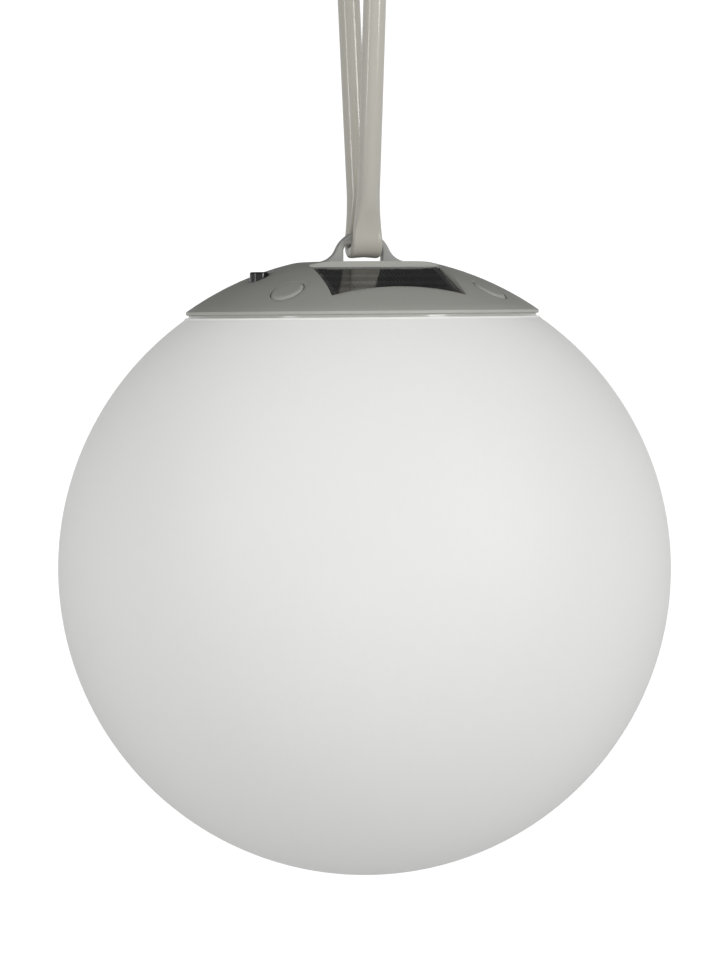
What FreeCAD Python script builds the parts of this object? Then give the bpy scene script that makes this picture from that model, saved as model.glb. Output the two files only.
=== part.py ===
import FreeCAD, Part
import math
import os

import Sketcher

# Hanging solar globe light, in millimetres.
# The origin is the hanging point, inside the top of the strap's loop, where a hook bears.
# +Z is up and -Y is the front, where the solar window is. Every lamp piece is drawn in a
# frame whose XY plane is the plane of the cap's rim, and then lowered by hang_height.

SIZES = {
    # strap: one soft tube through the eye
    "tube_diameter": 11.0,
    "tube_bore": 6.4,
    "hang_height": 223.8,
    "fold_width": 16.2,
    "fold_thickness": 6.0,
    "fold_clearance": 0.2,
    "fold_shift": 0.9,
    "fold_blend": 20.0,
    "fold_flat_angle": 20.0,
    "joiner_height": 180.0,
    "joiner_flange": 2.0,
    "joiner_flange_radius": 6.2,
    "joiner_barb_length": 14.0,
    "joiner_fit": 0.1,
    "joiner_taper": 1.0,
    # globe
    "globe_radius": 150.0,
    "globe_wall": 2.2,
    "seat_radius": 87.0,
    "seat_drop": 3.1,
    "seat_round": 1.6,
    "neck_clearance": 1.0,
    # cap dome
    "dome_radius": 150.0,
    "dome_wall": 2.5,
    "crown_cut": 3.4,
    "top_blend": 25.0,
    "lip_radius": 86.2,
    "lip_height": 0.76,
    "lip_face": 1.3,
    "lip_bevel": 0.5,
    "joint_drop": 0.9,
    "rim_inner_radius": 78.5,
    # solar window and the panel laid in it
    "window_half_width": 32.5,
    "window_back": 22.2,
    "window_front": 67.4,
    "panel_tilt": 18.1,
    "window_depth": 2.2,
    "cover_thickness": 1.0,
    "cell_thickness": 0.3,
    "board_thickness": 1.2,
    "panel_gap": 1.1,
    "tub_wall": 1.8,
    "tub_floor": 1.8,
    "cell_width": 57.0,
    "cell_pitch": 10.4,
    "cell_length": 9.9,
    "tab_width": 1.6,
    "tab_length": 4.5,
    "lead_hole_x": 20.0,
    "lead_hole_y": 28.0,
    "lead_hole_radius": 2.6,
    # screws of the cap, their wells and plugs
    "screw_circle": 70.0,
    "well_radius": 8.25,
    "well_floor": 3.2,
    "boss_radius": 10.0,
    "head_pocket_radius": 4.2,
    "head_seat": 0.6,
    "screw_radius": 1.5,
    "screw_head_radius": 3.4,
    "screw_head_height": 2.4,
    "screw_hole_clearance": 0.3,
    "thread_clearance": 0.05,
    "screw_tip_drop": 13.0,
    "plug_clearance": 0.15,
    "plug_set": 0.2,
    "plug_round": 1.2,
    # eye and its bar
    "eye_foot_half": 20.5,
    "eye_foot_depth": 9.0,
    "eye_foot_rise": 0.4,
    "eye_shoulder_half": 13.4,
    "eye_shoulder_height": 6.0,
    "eye_height": 15.0,
    "eye_thickness": 5.6,
    "eye_flare": 10.0,
    "eye_round": 1.0,
    "slot_half": 9.8,
    "slot_height": 8.4,
    "slot_round": 3.0,
    "eye_clearance": 0.15,
    "eye_pad_half_x": 32.0,
    "eye_pad_half_y": 12.5,
    "eye_pad_height": 6.0,
    "eye_flange_half_x": 29.0,
    "eye_flange_half_y": 9.5,
    "eye_flange_thickness": 2.5,
    "eye_screw_x": 25.0,
    "eye_screw_bite": 4.0,
    "small_head_height": 1.6,
    "small_head_radius": 2.8,
    # base tray with its light band
    "band_top_radius": 84.9,
    "band_bottom_radius": 85.4,
    "band_bottom_drop": 3.0,
    "band_wall": 2.0,
    "flange_thickness": 1.4,
    "cup_radius": 63.5,
    "cup_wall": 2.0,
    "floor_drop": 26.0,
    "floor_thickness": 2.0,
    "seal_inner_radius": 80.6,
    "seal_width": 1.8,
    "seal_depth": 0.8,
    "globe_seal_inner": 66.0,
    "globe_seal_outer": 82.8,
    "clamp_clearance": 1.7,
    "clamp_width": 12.5,
    "clamp_thickness": 3.0,
    "clamp_gap": 1.5,
    "clamp_boss_radius": 4.5,
    "clamp_boss_height": 5.5,
    # button, its sleeve and the switch below it
    "button_x": 55.0,
    "button_y": 15.0,
    "button_radius": 4.55,
    "button_top": 19.7,
    "button_round": 0.8,
    "button_travel": 1.5,
    "sleeve_clearance": 0.15,
    "sleeve_wall": 1.8,
    "sleeve_bottom": 10.5,
    "button_flange_radius": 6.0,
    "button_flange": 1.5,
    "stop_gap": 0.3,
    "ring_height": 12.6,
    "ring_section": 0.6,
    "ring_clearance": 0.05,
    "plunger_radius": 1.6,
    "plunger_clearance": 0.1,
    "plunger_seat": 2.2,
    "switch_side": 7.0,
    "switch_height": 4.2,
    # control board under the dome
    "pcb_thickness": 1.6,
    "pcb_top": 3.0,
    "pcb_left": 68.0,
    "pcb_right": 37.0,
    "pcb_front": 36.0,
    "pcb_back": 14.0,
    "pcb_boss_radius": 3.2,
    "pcb_boss_inset": 4.0,
    "pcb_screw_bite": 5.0,
    "chip_length": 6.0,
    "chip_width": 5.0,
    "chip_height": 1.5,
    "coil_radius": 3.6,
    "coil_height": 4.0,
    "can_radius": 2.6,
    "can_height": 5.0,
    "can_pitch": 8.3,
    # battery
    "cell_radius": 9.2,
    "cell_body_length": 65.0,
    "battery_y": 28.0,
    "holder_wall": 1.5,
    "holder_floor": 1.5,
    "holder_height": 11.0,
    "battery_clearance": 0.2,
    "contact_thickness": 0.6,
    "contact_bump": 1.5,
    "contact_bump_radius": 3.0,
    "ear_x": 34.0,
    "ear_reach": 8.0,
    "ear_thickness": 2.5,
    "floor_boss_radius": 3.3,
    "floor_boss_height": 4.5,
    # light board under the tray floor
    "led_board_radius": 22.0,
    "led_circle": 14.0,
    "led_side": 5.0,
    "led_height": 1.6,
    "led_cover_radius": 26.0,
    "led_cover_wall": 1.4,
    "led_cover_depth": 8.0,
    "led_cover_bulge": 60.0,
    "led_flange_radius": 32.5,
    "led_screw_x": 29.0,
    "led_lead_x": 8.0,
    "led_lead_hole": 2.4,
    "wire_radius": 0.7,
    "wire_pitch": 2.0,
    "wire_bend": 3.0,
    "wire_rise": 6.0,
    "wire_inset": 2.0,
    "wire_step": 4.0,
    "wire_bite": 0.5,
    "battery_landing": 9.0,
}

LED_COUNT = 8
CELL_COUNT = 4
CAP_CORNERS = [(1, 1), (-1, 1), (-1, -1), (1, -1)]
MIRROR_PAIR = [-1, 1]
NOTHING = 0.01  # a length that counts as none, in mm
SLIVER = 0.01  # a volume that counts as none, in mm3

doc = FreeCAD.newDocument("globe_light")
sheet = doc.addObject("Spreadsheet::Sheet", "sizes")
for row, (name, value) in enumerate(SIZES.items(), start=1):
    sheet.set(f"A{row}", name)
    sheet.set(f"B{row}", str(value))
    sheet.setAlias(f"B{row}", name)
doc.recompute()


class Size:
    """A length with its number and the sheet expression it comes from."""

    def __init__(self, number, text):
        self.number = float(number)
        self.text = text

    def __add__(self, other):
        other = as_size(other)
        return Size(self.number + other.number, f"({self.text} + {other.text})")

    def __sub__(self, other):
        other = as_size(other)
        return Size(self.number - other.number, f"({self.text} - {other.text})")

    def __mul__(self, other):
        other = as_size(other)
        return Size(self.number * other.number, f"({self.text} * {other.text})")

    def __truediv__(self, other):
        other = as_size(other)
        return Size(self.number / other.number, f"({self.text} / {other.text})")

    def __neg__(self):
        return Size(-self.number, f"(0 - {self.text})")

    def __rmul__(self, other):
        return self * other

    def __radd__(self, other):
        return self + other


def as_size(value):
    if isinstance(value, Size):
        return value
    return Size(value, f"({float(value)})")


def root(size):
    return Size(math.sqrt(size.number), f"sqrt({size.text})")


def sine(degrees):
    return Size(math.sin(math.radians(degrees.number)), f"sin({degrees.text})")


def cosine(degrees):
    return Size(math.cos(math.radians(degrees.number)), f"cos({degrees.text})")


class Named:
    """The sheet's values, each as a Size under its own name."""

    def __init__(self, sizes):
        for alias, number in sizes.items():
            setattr(self, alias, Size(number, f"sizes.{alias}"))


s = Named(SIZES)


# ---- sketches and features -------------------------------------------------------------

def new_body(label, x=0, y=0):
    """A body drawn in the rim frame, moved to (x, y) and lowered to its place."""
    body = doc.addObject("PartDesign::Body", label)
    body.Label = label
    body.setExpression("Placement.Base.x", as_size(x).text)
    body.setExpression("Placement.Base.y", as_size(y).text)
    body.setExpression("Placement.Base.z", (-s.hang_height).text)
    return body


def new_sketch(body, role, height=0, tilt=None):
    """A sketch on one of the body's own planes, raised by height and tilted about X."""
    sketch = body.newObject("Sketcher::SketchObject", f"{body.Label}_sketch")
    plane = next(item for item in body.Origin.OriginFeatures if item.Role == role)
    sketch.AttachmentSupport = [(plane, "")]
    sketch.MapMode = "FlatFace"
    rise = as_size(height)
    angle = tilt.number if tilt else 0
    turn = FreeCAD.Rotation(FreeCAD.Vector(1, 0, 0), angle)
    sketch.AttachmentOffset = FreeCAD.Placement(FreeCAD.Vector(0, 0, rise.number), turn)
    sketch.setExpression("AttachmentOffset.Base.z", rise.text)
    if tilt:
        sketch.setExpression("AttachmentOffset.Rotation.Angle", tilt.text)
    return sketch


def fix_point(sketch, line, end, x, y):
    for kind, size in (("DistanceX", as_size(x)), ("DistanceY", as_size(y))):
        index = sketch.addConstraint(Sketcher.Constraint(kind, -1, 1, line, end, size.number))
        sketch.setExpression(f"Constraints[{index}]", size.text)


def fix_radius(sketch, line, radius):
    index = sketch.addConstraint(Sketcher.Constraint("Radius", line, radius.number))
    sketch.setExpression(f"Constraints[{index}]", radius.text)


def arc_between(start, end, radius, left):
    """The minor arc from start to end that bends left or right of the way along it."""
    middle = (start + end) * 0.5
    chord = end - start
    reach = math.sqrt(radius ** 2 - (chord.Length / 2) ** 2)
    side = FreeCAD.Vector(-chord.y, chord.x, 0).normalize() * (reach if left else -reach)
    centre = middle + side
    first, last = (start, end) if left else (end, start)
    first_angle = math.atan2(first.y - centre.y, first.x - centre.x)
    last_angle = math.atan2(last.y - centre.y, last.x - centre.x)
    circle = Part.Circle(centre, FreeCAD.Vector(0, 0, 1), radius)
    return Part.ArcOfCircle(circle, first_angle, last_angle)


def draw_outline(sketch, points):
    """A closed outline. A third entry is the radius of the arc that leads to the point,
    and a fourth is "left" or "right", the way that arc bends."""
    spots = [FreeCAD.Vector(as_size(p[0]).number, as_size(p[1]).number, 0) for p in points]
    ends = []
    for index, point in enumerate(points):
        start = spots[index - 1]
        end = spots[index]
        if len(point) == 2:
            line = sketch.addGeometry(Part.LineSegment(start, end))
            ends.append((line, 1, 2))
        else:
            left = point[3] == "left"
            line = sketch.addGeometry(arc_between(start, end, point[2].number, left))
            ends.append((line, 1, 2) if left else (line, 2, 1))
    for index, point in enumerate(points):
        line, first, last = ends[index]
        following, entry, _ = ends[(index + 1) % len(points)]
        sketch.addConstraint(Sketcher.Constraint("Coincident", line, last, following, entry))
        fix_point(sketch, line, last, point[0], point[1])
        if len(point) == 4:
            fix_radius(sketch, line, point[2])


def draw_circles(sketch, centres, radius):
    radius = as_size(radius)
    for x, y in centres:
        spot = FreeCAD.Vector(as_size(x).number, as_size(y).number, 0)
        circle = Part.Circle(spot, FreeCAD.Vector(0, 0, 1), radius.number)
        line = sketch.addGeometry(circle)
        fix_point(sketch, line, 3, x, y)
        fix_radius(sketch, line, radius)


def feature(body, kind, sketch):
    made = body.newObject(f"PartDesign::{kind}", f"{body.Label}_{kind.lower()}")
    made.Profile = sketch
    return made


def pad(body, sketch, length, symmetric=False, down=False):
    made = feature(body, "Pad", sketch)
    made.SideType = "Symmetric" if symmetric else "One side"
    made.Reversed = down
    made.setExpression("Length", as_size(length).text)
    return made


def pad_circles(body, centres, radius, bottom, top):
    sketch = new_sketch(body, "XY_Plane", bottom)
    draw_circles(sketch, centres, radius)
    return pad(body, sketch, as_size(top) - bottom)


def pocket(body, sketch, length, symmetric=False):
    """A pocket cut along the sketch's own normal, upwards on a level plane."""
    made = feature(body, "Pocket", sketch)
    made.SideType = "Symmetric" if symmetric else "One side"
    made.Reversed = not symmetric
    made.setExpression("Length", as_size(length).text)
    doc.recompute()
    return made


def drill(body, centres, radius, bottom, top):
    """Round holes from bottom up to top, checked to take material away."""
    doc.recompute()
    before = body.Shape.Volume
    sketch = new_sketch(body, "XY_Plane", bottom)
    draw_circles(sketch, centres, radius)
    made = pocket(body, sketch, as_size(top) - bottom)
    if body.Shape.Volume > before - SLIVER:
        raise RuntimeError(f"{body.Label}: a hole from {as_size(bottom).number} cuts nothing")
    return made


def turn(body, points, kind="Revolution"):
    """A solid, or with Groove a cut, turned about the body's Z axis."""
    sketch = new_sketch(body, "XZ_Plane")
    draw_outline(sketch, points)
    made = feature(body, kind, sketch)
    made.ReferenceAxis = (sketch, ["V_Axis"])
    made.Angle = 360
    doc.recompute()
    return made


def round_edges(body, radius, wanted):
    """Fillets the edges of the body's tip that wanted(edge) picks."""
    doc.recompute()
    tip = body.Tip
    names = [f"Edge{number}" for number, edge in enumerate(tip.Shape.Edges, start=1) if wanted(edge)]
    made = body.newObject("PartDesign::Fillet", f"{body.Label}_fillet")
    made.Base = (tip, names)
    made.setExpression("Radius", radius.text)
    doc.recompute()
    return made


def rectangle(x_low, x_high, y_low, y_high):
    return [(x_low, y_low), (x_high, y_low), (x_high, y_high), (x_low, y_high)]


def rounded_rectangle(half_x, half_y, radius):
    """A rectangle about the origin with round corners, drawn counter-clockwise."""
    inner_x = half_x - radius
    inner_y = half_y - radius
    return [
        (inner_x, -half_y),
        (half_x, -inner_y, radius, "left"),
        (half_x, inner_y),
        (inner_x, half_y, radius, "left"),
        (-inner_x, half_y),
        (-half_x, inner_y, radius, "left"),
        (-half_x, -inner_y),
        (-inner_x, -half_y, radius, "left"),
    ]


def block(body, outline, bottom, top):
    sketch = new_sketch(body, "XY_Plane", bottom)
    draw_outline(sketch, outline)
    return pad(body, sketch, as_size(top) - bottom)


# ---- shared places ----------------------------------------------------------------------

def height_on(radius_of_ball, drop, radius):
    """Height of a ball's surface over a point at the given radius from the axis."""
    return root(radius_of_ball * radius_of_ball - radius * radius) - drop


def ball_drop(ball, radius, height):
    """How far below the rim's plane a ball's centre lies, if the ball passes this edge."""
    return root(ball * ball - radius * radius) - height


dome_drop = ball_drop(s.dome_radius, s.lip_radius, s.lip_height)
top_height = s.dome_radius - dome_drop - s.crown_cut
globe_drop = ball_drop(s.globe_radius, s.seat_radius, -s.seat_drop)
neck_radius = s.cup_radius + s.neck_clearance
clamp_inner = s.cup_radius + s.clamp_clearance
clamp_outer = clamp_inner + s.clamp_width
screw_offset = s.screw_circle * root(as_size(0.5))
SCREW_SPOTS = [(i * screw_offset, j * screw_offset) for i, j in CAP_CORNERS]
joint_z = -s.joint_drop
seat_z = -s.seat_drop
flange_z = joint_z - s.flange_thickness
floor_bottom = -s.floor_drop
floor_top = floor_bottom + s.floor_thickness
clamp_top = seat_z - s.globe_wall
clamp_bottom = clamp_top - s.clamp_thickness
screw_hole = s.screw_radius + s.screw_hole_clearance
thread_hole = s.screw_radius + s.thread_clearance
above_cap = top_height + s.eye_height
bar_height = top_height + (s.slot_height + s.eye_height) * 0.5
pad_bottom = top_height - s.eye_pad_height

# the panel's own plane, given by its height over the axis and its tilt
tilt_sin = sine(s.panel_tilt)
tilt_cos = cosine(s.panel_tilt)
panel_plane = (top_height - s.window_depth) + s.window_back * tilt_sin / tilt_cos
panel_stack = s.cover_thickness + s.cell_thickness + s.board_thickness


def panel_height(y, depth):
    """Height of the plane that lies depth under the panel's face, over the given y."""
    return panel_plane + y * tilt_sin / tilt_cos - depth / tilt_cos


def dome_skin():
    """The dome's outer outline from the axis to the lip, with the soft edge of its flat top."""
    core = s.dome_radius - s.top_blend
    blend_height = top_height + dome_drop - s.top_blend
    flat_end = root(core * core - blend_height * blend_height)
    share = s.dome_radius / core
    blend_end = (flat_end * share, blend_height * share - dome_drop)
    return [
        (flat_end, top_height),
        (*blend_end, s.top_blend, "right"),
        (s.lip_radius, s.lip_height, s.dome_radius, "right"),
    ]


# ---- cap dome -----------------------------------------------------------------------------

def tub_section(body, wall, floor_depth, top):
    """Side view of the recess or its tub: upright walls and a floor that follows the panel."""
    back = -s.window_back + wall
    front = -s.window_front - wall
    sketch = new_sketch(body, "YZ_Plane")
    draw_outline(sketch, [
        (front, panel_height(front, floor_depth)),
        (back, panel_height(back, floor_depth)),
        (back, top),
        (front, top),
    ])
    return sketch


def make_cap_dome():
    body = new_body("cap_dome")
    inner = s.dome_radius - s.dome_wall
    ceiling = top_height - s.dome_wall
    ceiling_rise = ceiling + dome_drop
    ceiling_end = root(inner * inner - ceiling_rise * ceiling_rise)
    bevel_radius = s.lip_radius - s.lip_bevel
    lip_bottom = s.lip_height - s.lip_face
    turn(body, [
        (0, top_height),
        *dome_skin(),
        (s.lip_radius, lip_bottom),
        (bevel_radius, joint_z),
        (s.rim_inner_radius, joint_z),
        (s.rim_inner_radius, height_on(inner, dome_drop, s.rim_inner_radius)),
        (ceiling_end, ceiling, inner, "left"),
        (0, ceiling),
    ])

    # tub, bosses, sleeve and eye pad are drawn too tall, and the groove trims them to the skin
    tub = tub_section(body, s.tub_wall, panel_stack + s.tub_floor, above_cap)
    pad(body, tub, (s.window_half_width + s.tub_wall) * 2, symmetric=True)
    pad_circles(body, SCREW_SPOTS, s.boss_radius, joint_z, above_cap)
    sleeve = s.button_radius + s.sleeve_clearance + s.sleeve_wall
    pad_circles(body, [(-s.button_x, -s.button_y)], sleeve, s.sleeve_bottom, above_cap)
    pad_circles(body, pcb_screw_spots(), s.pcb_boss_radius, s.pcb_top, above_cap)
    block(body, rectangle(-s.eye_pad_half_x, s.eye_pad_half_x, -s.eye_pad_half_y, s.eye_pad_half_y),
          pad_bottom, above_cap)
    outside = s.lip_radius + s.boss_radius
    turn(body, [
        (0, top_height),
        *dome_skin(),
        (outside, s.lip_height),
        (outside, above_cap * 2),
        (0, above_cap * 2),
    ], kind="Groove")

    doc.recompute()
    before = body.Shape.Volume
    recess = tub_section(body, as_size(0), panel_stack, above_cap)
    pocket(body, recess, s.window_half_width * 2, symmetric=True)
    if body.Shape.Volume > before - SLIVER:
        raise RuntimeError("the solar recess cuts nothing")

    drill(body, SCREW_SPOTS, s.well_radius, s.well_floor, above_cap)
    drill(body, SCREW_SPOTS, s.head_pocket_radius, s.head_seat, s.well_floor)
    drill(body, SCREW_SPOTS, screw_hole, joint_z, s.head_seat)
    bore = s.button_radius + s.sleeve_clearance
    drill(body, [(-s.button_x, -s.button_y)], bore, s.sleeve_bottom, above_cap)
    drill(body, pcb_screw_spots(), thread_hole, s.pcb_top, s.pcb_top + s.pcb_screw_bite)
    drill(body, eye_screw_spots(), thread_hole, pad_bottom, pad_bottom + s.eye_screw_bite)
    drill(body, [(-s.lead_hole_x, -s.lead_hole_y)], s.lead_hole_radius, s.well_floor, top_height)

    foot = rounded_rectangle(s.eye_foot_half + s.eye_clearance,
                             s.eye_foot_depth * 0.5 + s.eye_clearance, s.slot_round)
    opening = new_sketch(body, "XY_Plane", pad_bottom)
    draw_outline(opening, foot)
    pocket(body, opening, above_cap - pad_bottom)
    return body


def pcb_screw_spots():
    inset = s.pcb_boss_inset
    return [
        (-s.pcb_left + inset, s.pcb_back - inset),
        (-s.pcb_right - inset, s.pcb_back - inset),
        (-s.pcb_right - inset, -s.pcb_front + inset),
    ]


def eye_screw_spots():
    return [(side * s.eye_screw_x, 0) for side in MIRROR_PAIR]


def make_hanging_eye():
    """Arch, foot and inner flange. The bar over the slot is what the strap goes round."""
    body = new_body("hanging_eye")
    base = top_height
    shoulder = base + s.eye_shoulder_height
    crown_rise = s.eye_height - s.eye_shoulder_height
    half = s.eye_shoulder_half
    crown = (half * half + crown_rise * crown_rise) / (crown_rise * 2)
    foot_top = base + s.eye_foot_rise
    slot_top = base + s.slot_height
    slot_corner = s.slot_half - s.slot_round
    arch = new_sketch(body, "XZ_Plane")
    draw_outline(arch, [
        (s.eye_foot_half, base),
        (s.eye_foot_half, foot_top),
        (half, shoulder, s.eye_flare, "right"),
        (-half, shoulder, crown, "left"),
        (-s.eye_foot_half, foot_top, s.eye_flare, "right"),
        (-s.eye_foot_half, base),
        (-s.slot_half, base),
        (-s.slot_half, slot_top - s.slot_round),
        (-slot_corner, slot_top, s.slot_round, "right"),
        (slot_corner, slot_top),
        (s.slot_half, slot_top - s.slot_round, s.slot_round, "right"),
        (s.slot_half, base),
    ])
    pad(body, arch, s.eye_thickness, symmetric=True)

    def on_a_face(edge):
        box = edge.BoundBox
        return box.YLength < NOTHING and box.ZMax > foot_top.number + NOTHING
    round_edges(body, s.eye_round, on_a_face)
    flange_top = pad_bottom
    flange_bottom = flange_top - s.eye_flange_thickness
    block(body, rounded_rectangle(s.eye_foot_half, s.eye_foot_depth * 0.5, s.slot_round),
          flange_bottom, foot_top)
    block(body, rounded_rectangle(s.eye_flange_half_x, s.eye_flange_half_y, s.slot_round),
          flange_bottom, flange_top)
    drill(body, eye_screw_spots(), screw_hole, flange_bottom, flange_top)
    return body


def make_eye_screws():
    body = new_body("eye_screws")
    flange_bottom = pad_bottom - s.eye_flange_thickness
    tip = pad_bottom + s.eye_screw_bite - s.stop_gap
    pad_circles(body, eye_screw_spots(), s.screw_radius, flange_bottom, tip)
    pad_circles(body, eye_screw_spots(), s.small_head_radius,
                flange_bottom - s.small_head_height, flange_bottom)
    return body


def make_screw_plugs():
    """Four rubber plugs whose tops follow the dome, with soft edges."""
    body = new_body("screw_plugs")
    radius = s.well_radius - s.plug_clearance
    pad_circles(body, SCREW_SPOTS, radius, s.well_floor, above_cap)
    ball = s.dome_radius - s.plug_set
    outside = s.lip_radius + s.boss_radius
    turn(body, [
        (0, ball - dome_drop),
        (outside, height_on(ball, dome_drop, outside), ball, "right"),
        (outside, above_cap * 2),
        (0, above_cap * 2),
    ], kind="Groove")

    def top_edge(edge):
        return edge.isClosed() and edge.BoundBox.ZLength > 1
    round_edges(body, s.plug_round, top_edge)
    return body


def make_cap_screws():
    body = new_body("cap_screws")
    pad_circles(body, SCREW_SPOTS, s.screw_radius, -s.screw_tip_drop, s.head_seat)
    pad_circles(body, SCREW_SPOTS, s.screw_head_radius, s.head_seat,
                s.head_seat + s.screw_head_height)
    return body


# ---- solar panel --------------------------------------------------------------------------

def panel_sheet(label, depth, thickness, outlines):
    """A flat sheet whose top lies depth under the panel's face."""
    body = new_body(label)
    sketch = new_sketch(body, "XY_Plane", panel_plane - depth / tilt_cos, s.panel_tilt)
    for outline in outlines:
        draw_outline(sketch, outline)
    pad(body, sketch, thickness, down=True)
    return body


def sheet_outline(depth, side, front, back):
    """The window's rectangle less its margins at the panel's face, carried straight down
    through the stack to the given depth."""
    shift = depth * tilt_sin
    half = s.window_half_width - side
    low = (-s.window_front + front + shift) / tilt_cos
    high = (-s.window_back - back + shift) / tilt_cos
    return rectangle(-half, half, low, high)


def make_panel():
    """Board, cells, tabs and clear cover, laid in the recess from below upwards."""
    gap = s.panel_gap
    lean = panel_stack * tilt_sin
    cell_depth = s.cover_thickness
    board_depth = cell_depth + s.cell_thickness
    face = sheet_outline(as_size(0), gap, gap, gap + lean)
    panel_sheet("panel_cover", as_size(0), s.cover_thickness, [face])
    board = sheet_outline(board_depth, gap, gap, gap + lean)
    panel_sheet("panel_board", board_depth, s.board_thickness, [board])

    cell_face = sheet_outline(cell_depth, gap, gap, gap + lean)
    middle = (cell_face[0][1] + cell_face[2][1]) * 0.5
    strips = []
    tabs = []
    for number in range(CELL_COUNT):
        centre = middle + s.cell_pitch * (number - (CELL_COUNT - 1) / 2)
        half_length = s.cell_length * 0.5
        half_width = s.cell_width * 0.5
        strips.append(rectangle(-half_width, half_width, centre - half_length, centre + half_length))
        if number:
            join = centre - s.cell_pitch * 0.5
            tab_right = -half_width - s.plug_clearance
            tabs.append(rectangle(tab_right - s.tab_width, tab_right,
                                  join - s.tab_length * 0.5, join + s.tab_length * 0.5))
    panel_sheet("solar_cells", cell_depth, s.cell_thickness, strips)
    panel_sheet("cell_tabs", cell_depth, s.cell_thickness, tabs)

    # the bead fills the gap round the board: upright walls outside, the board's edge inside
    fit = s.plug_clearance
    half = s.window_half_width - fit
    bead_back = (-s.window_back - fit - s.board_thickness * tilt_sin) / tilt_cos
    outer = rectangle(-half, half, (-s.window_front + fit) / tilt_cos, bead_back)
    snug = gap - fit
    inner = sheet_outline(board_depth, snug, snug, snug + lean)
    panel_sheet("panel_seal", board_depth, s.board_thickness, [outer, inner])


# ---- base tray, seals and clamps ------------------------------------------------------------

def make_base_tray():
    body = new_body("base_tray")
    seal_outer = s.seal_inner_radius + s.seal_width
    seal_floor = joint_z - s.seal_depth
    skirt = s.band_bottom_radius - s.band_wall
    cup_inner = s.cup_radius - s.cup_wall
    turn(body, [
        (s.band_top_radius, joint_z),
        (seal_outer, joint_z),
        (seal_outer, seal_floor),
        (s.seal_inner_radius, seal_floor),
        (s.seal_inner_radius, joint_z),
        (cup_inner, joint_z),
        (cup_inner, floor_top),
        (0, floor_top),
        (0, floor_bottom),
        (s.cup_radius, floor_bottom),
        (s.cup_radius, flange_z),
        (skirt, flange_z),
        (skirt, -s.band_bottom_drop),
        (s.band_bottom_radius, -s.band_bottom_drop),
    ])
    ears = ear_spots()
    led_spots = led_screw_spots()
    pad_circles(body, ears, s.floor_boss_radius, floor_bottom - s.floor_boss_height, floor_top)
    pad_circles(body, led_spots, s.floor_boss_radius, floor_bottom, floor_top + s.floor_boss_height)
    drill(body, SCREW_SPOTS, screw_hole, flange_z, joint_z)
    bite = s.floor_boss_height
    drill(body, ears, thread_hole, floor_top - bite, floor_top)
    drill(body, led_spots, thread_hole, floor_bottom, floor_bottom + bite)
    drill(body, [(s.led_lead_x, 0)], s.led_lead_hole, floor_bottom, floor_top)
    return body


def make_seals():
    ring = new_body("dome_seal")
    play = s.thread_clearance
    inner = s.seal_inner_radius + play
    outer = s.seal_inner_radius + s.seal_width - play
    turn(ring, rectangle(inner, outer, joint_z - s.seal_depth, joint_z))

    gasket = new_body("globe_seal")
    turn(gasket, rectangle(s.globe_seal_inner, s.globe_seal_outer, seat_z, flange_z))
    drill(gasket, SCREW_SPOTS, screw_hole, seat_z, flange_z)


def make_clamp_halves():
    """Two half rings under the globe's rim, each with two threaded bosses."""
    body = new_body("clamp_halves")
    gap = s.clamp_gap * 0.5
    outer = root(clamp_outer * clamp_outer - gap * gap)
    inner = root(clamp_inner * clamp_inner - gap * gap)
    block(body, [
        (gap, -outer),
        (gap, outer, clamp_outer, "left"),
        (gap, inner),
        (gap, -inner, clamp_inner, "right"),
    ], clamp_bottom, clamp_top)
    right_side = [SCREW_SPOTS[0], SCREW_SPOTS[3]]
    boss_bottom = clamp_bottom - s.clamp_boss_height
    pad_circles(body, right_side, s.clamp_boss_radius, boss_bottom, clamp_top)
    drill(body, right_side, thread_hole, boss_bottom, clamp_top)
    pair = body.newObject("PartDesign::PolarPattern", "clamp_halves_pair")
    pair.TransformMode = "Whole shape"
    pair.Axis = (next(item for item in body.Origin.OriginFeatures if item.Role == "Z_Axis"), [""])
    pair.Angle = 360
    pair.Occurrences = 2
    body.Tip = pair
    return body


def make_globe_shell():
    """Opal ball with a flat seat, a soft shoulder and the round neck opening."""
    body = new_body("globe_shell")
    ball = s.globe_radius
    wall_ball = ball - s.globe_wall
    rise = globe_drop - s.seat_drop
    core = ball - s.seat_round
    seat_end = root(core * core - (rise - s.seat_round) * (rise - s.seat_round))
    share = ball / core
    shoulder_height = (rise - s.seat_round) * share - globe_drop
    inner_rise = rise - s.globe_wall
    inner_end = root(wall_ball * wall_ball - inner_rise * inner_rise)
    turn(body, [
        (neck_radius, seat_z),
        (seat_end, seat_z),
        (seat_end * share, shoulder_height, s.seat_round, "right"),
        (ball, -globe_drop, ball, "right"),
        (0, -globe_drop - ball, ball, "right"),
        (0, -globe_drop - wall_ball),
        (wall_ball, -globe_drop, wall_ball, "left"),
        (inner_end, clamp_top, wall_ball, "left"),
        (neck_radius, clamp_top),
    ])
    drill(body, SCREW_SPOTS, screw_hole, clamp_top, seat_z)
    return body


# ---- button and switch ----------------------------------------------------------------------

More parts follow.
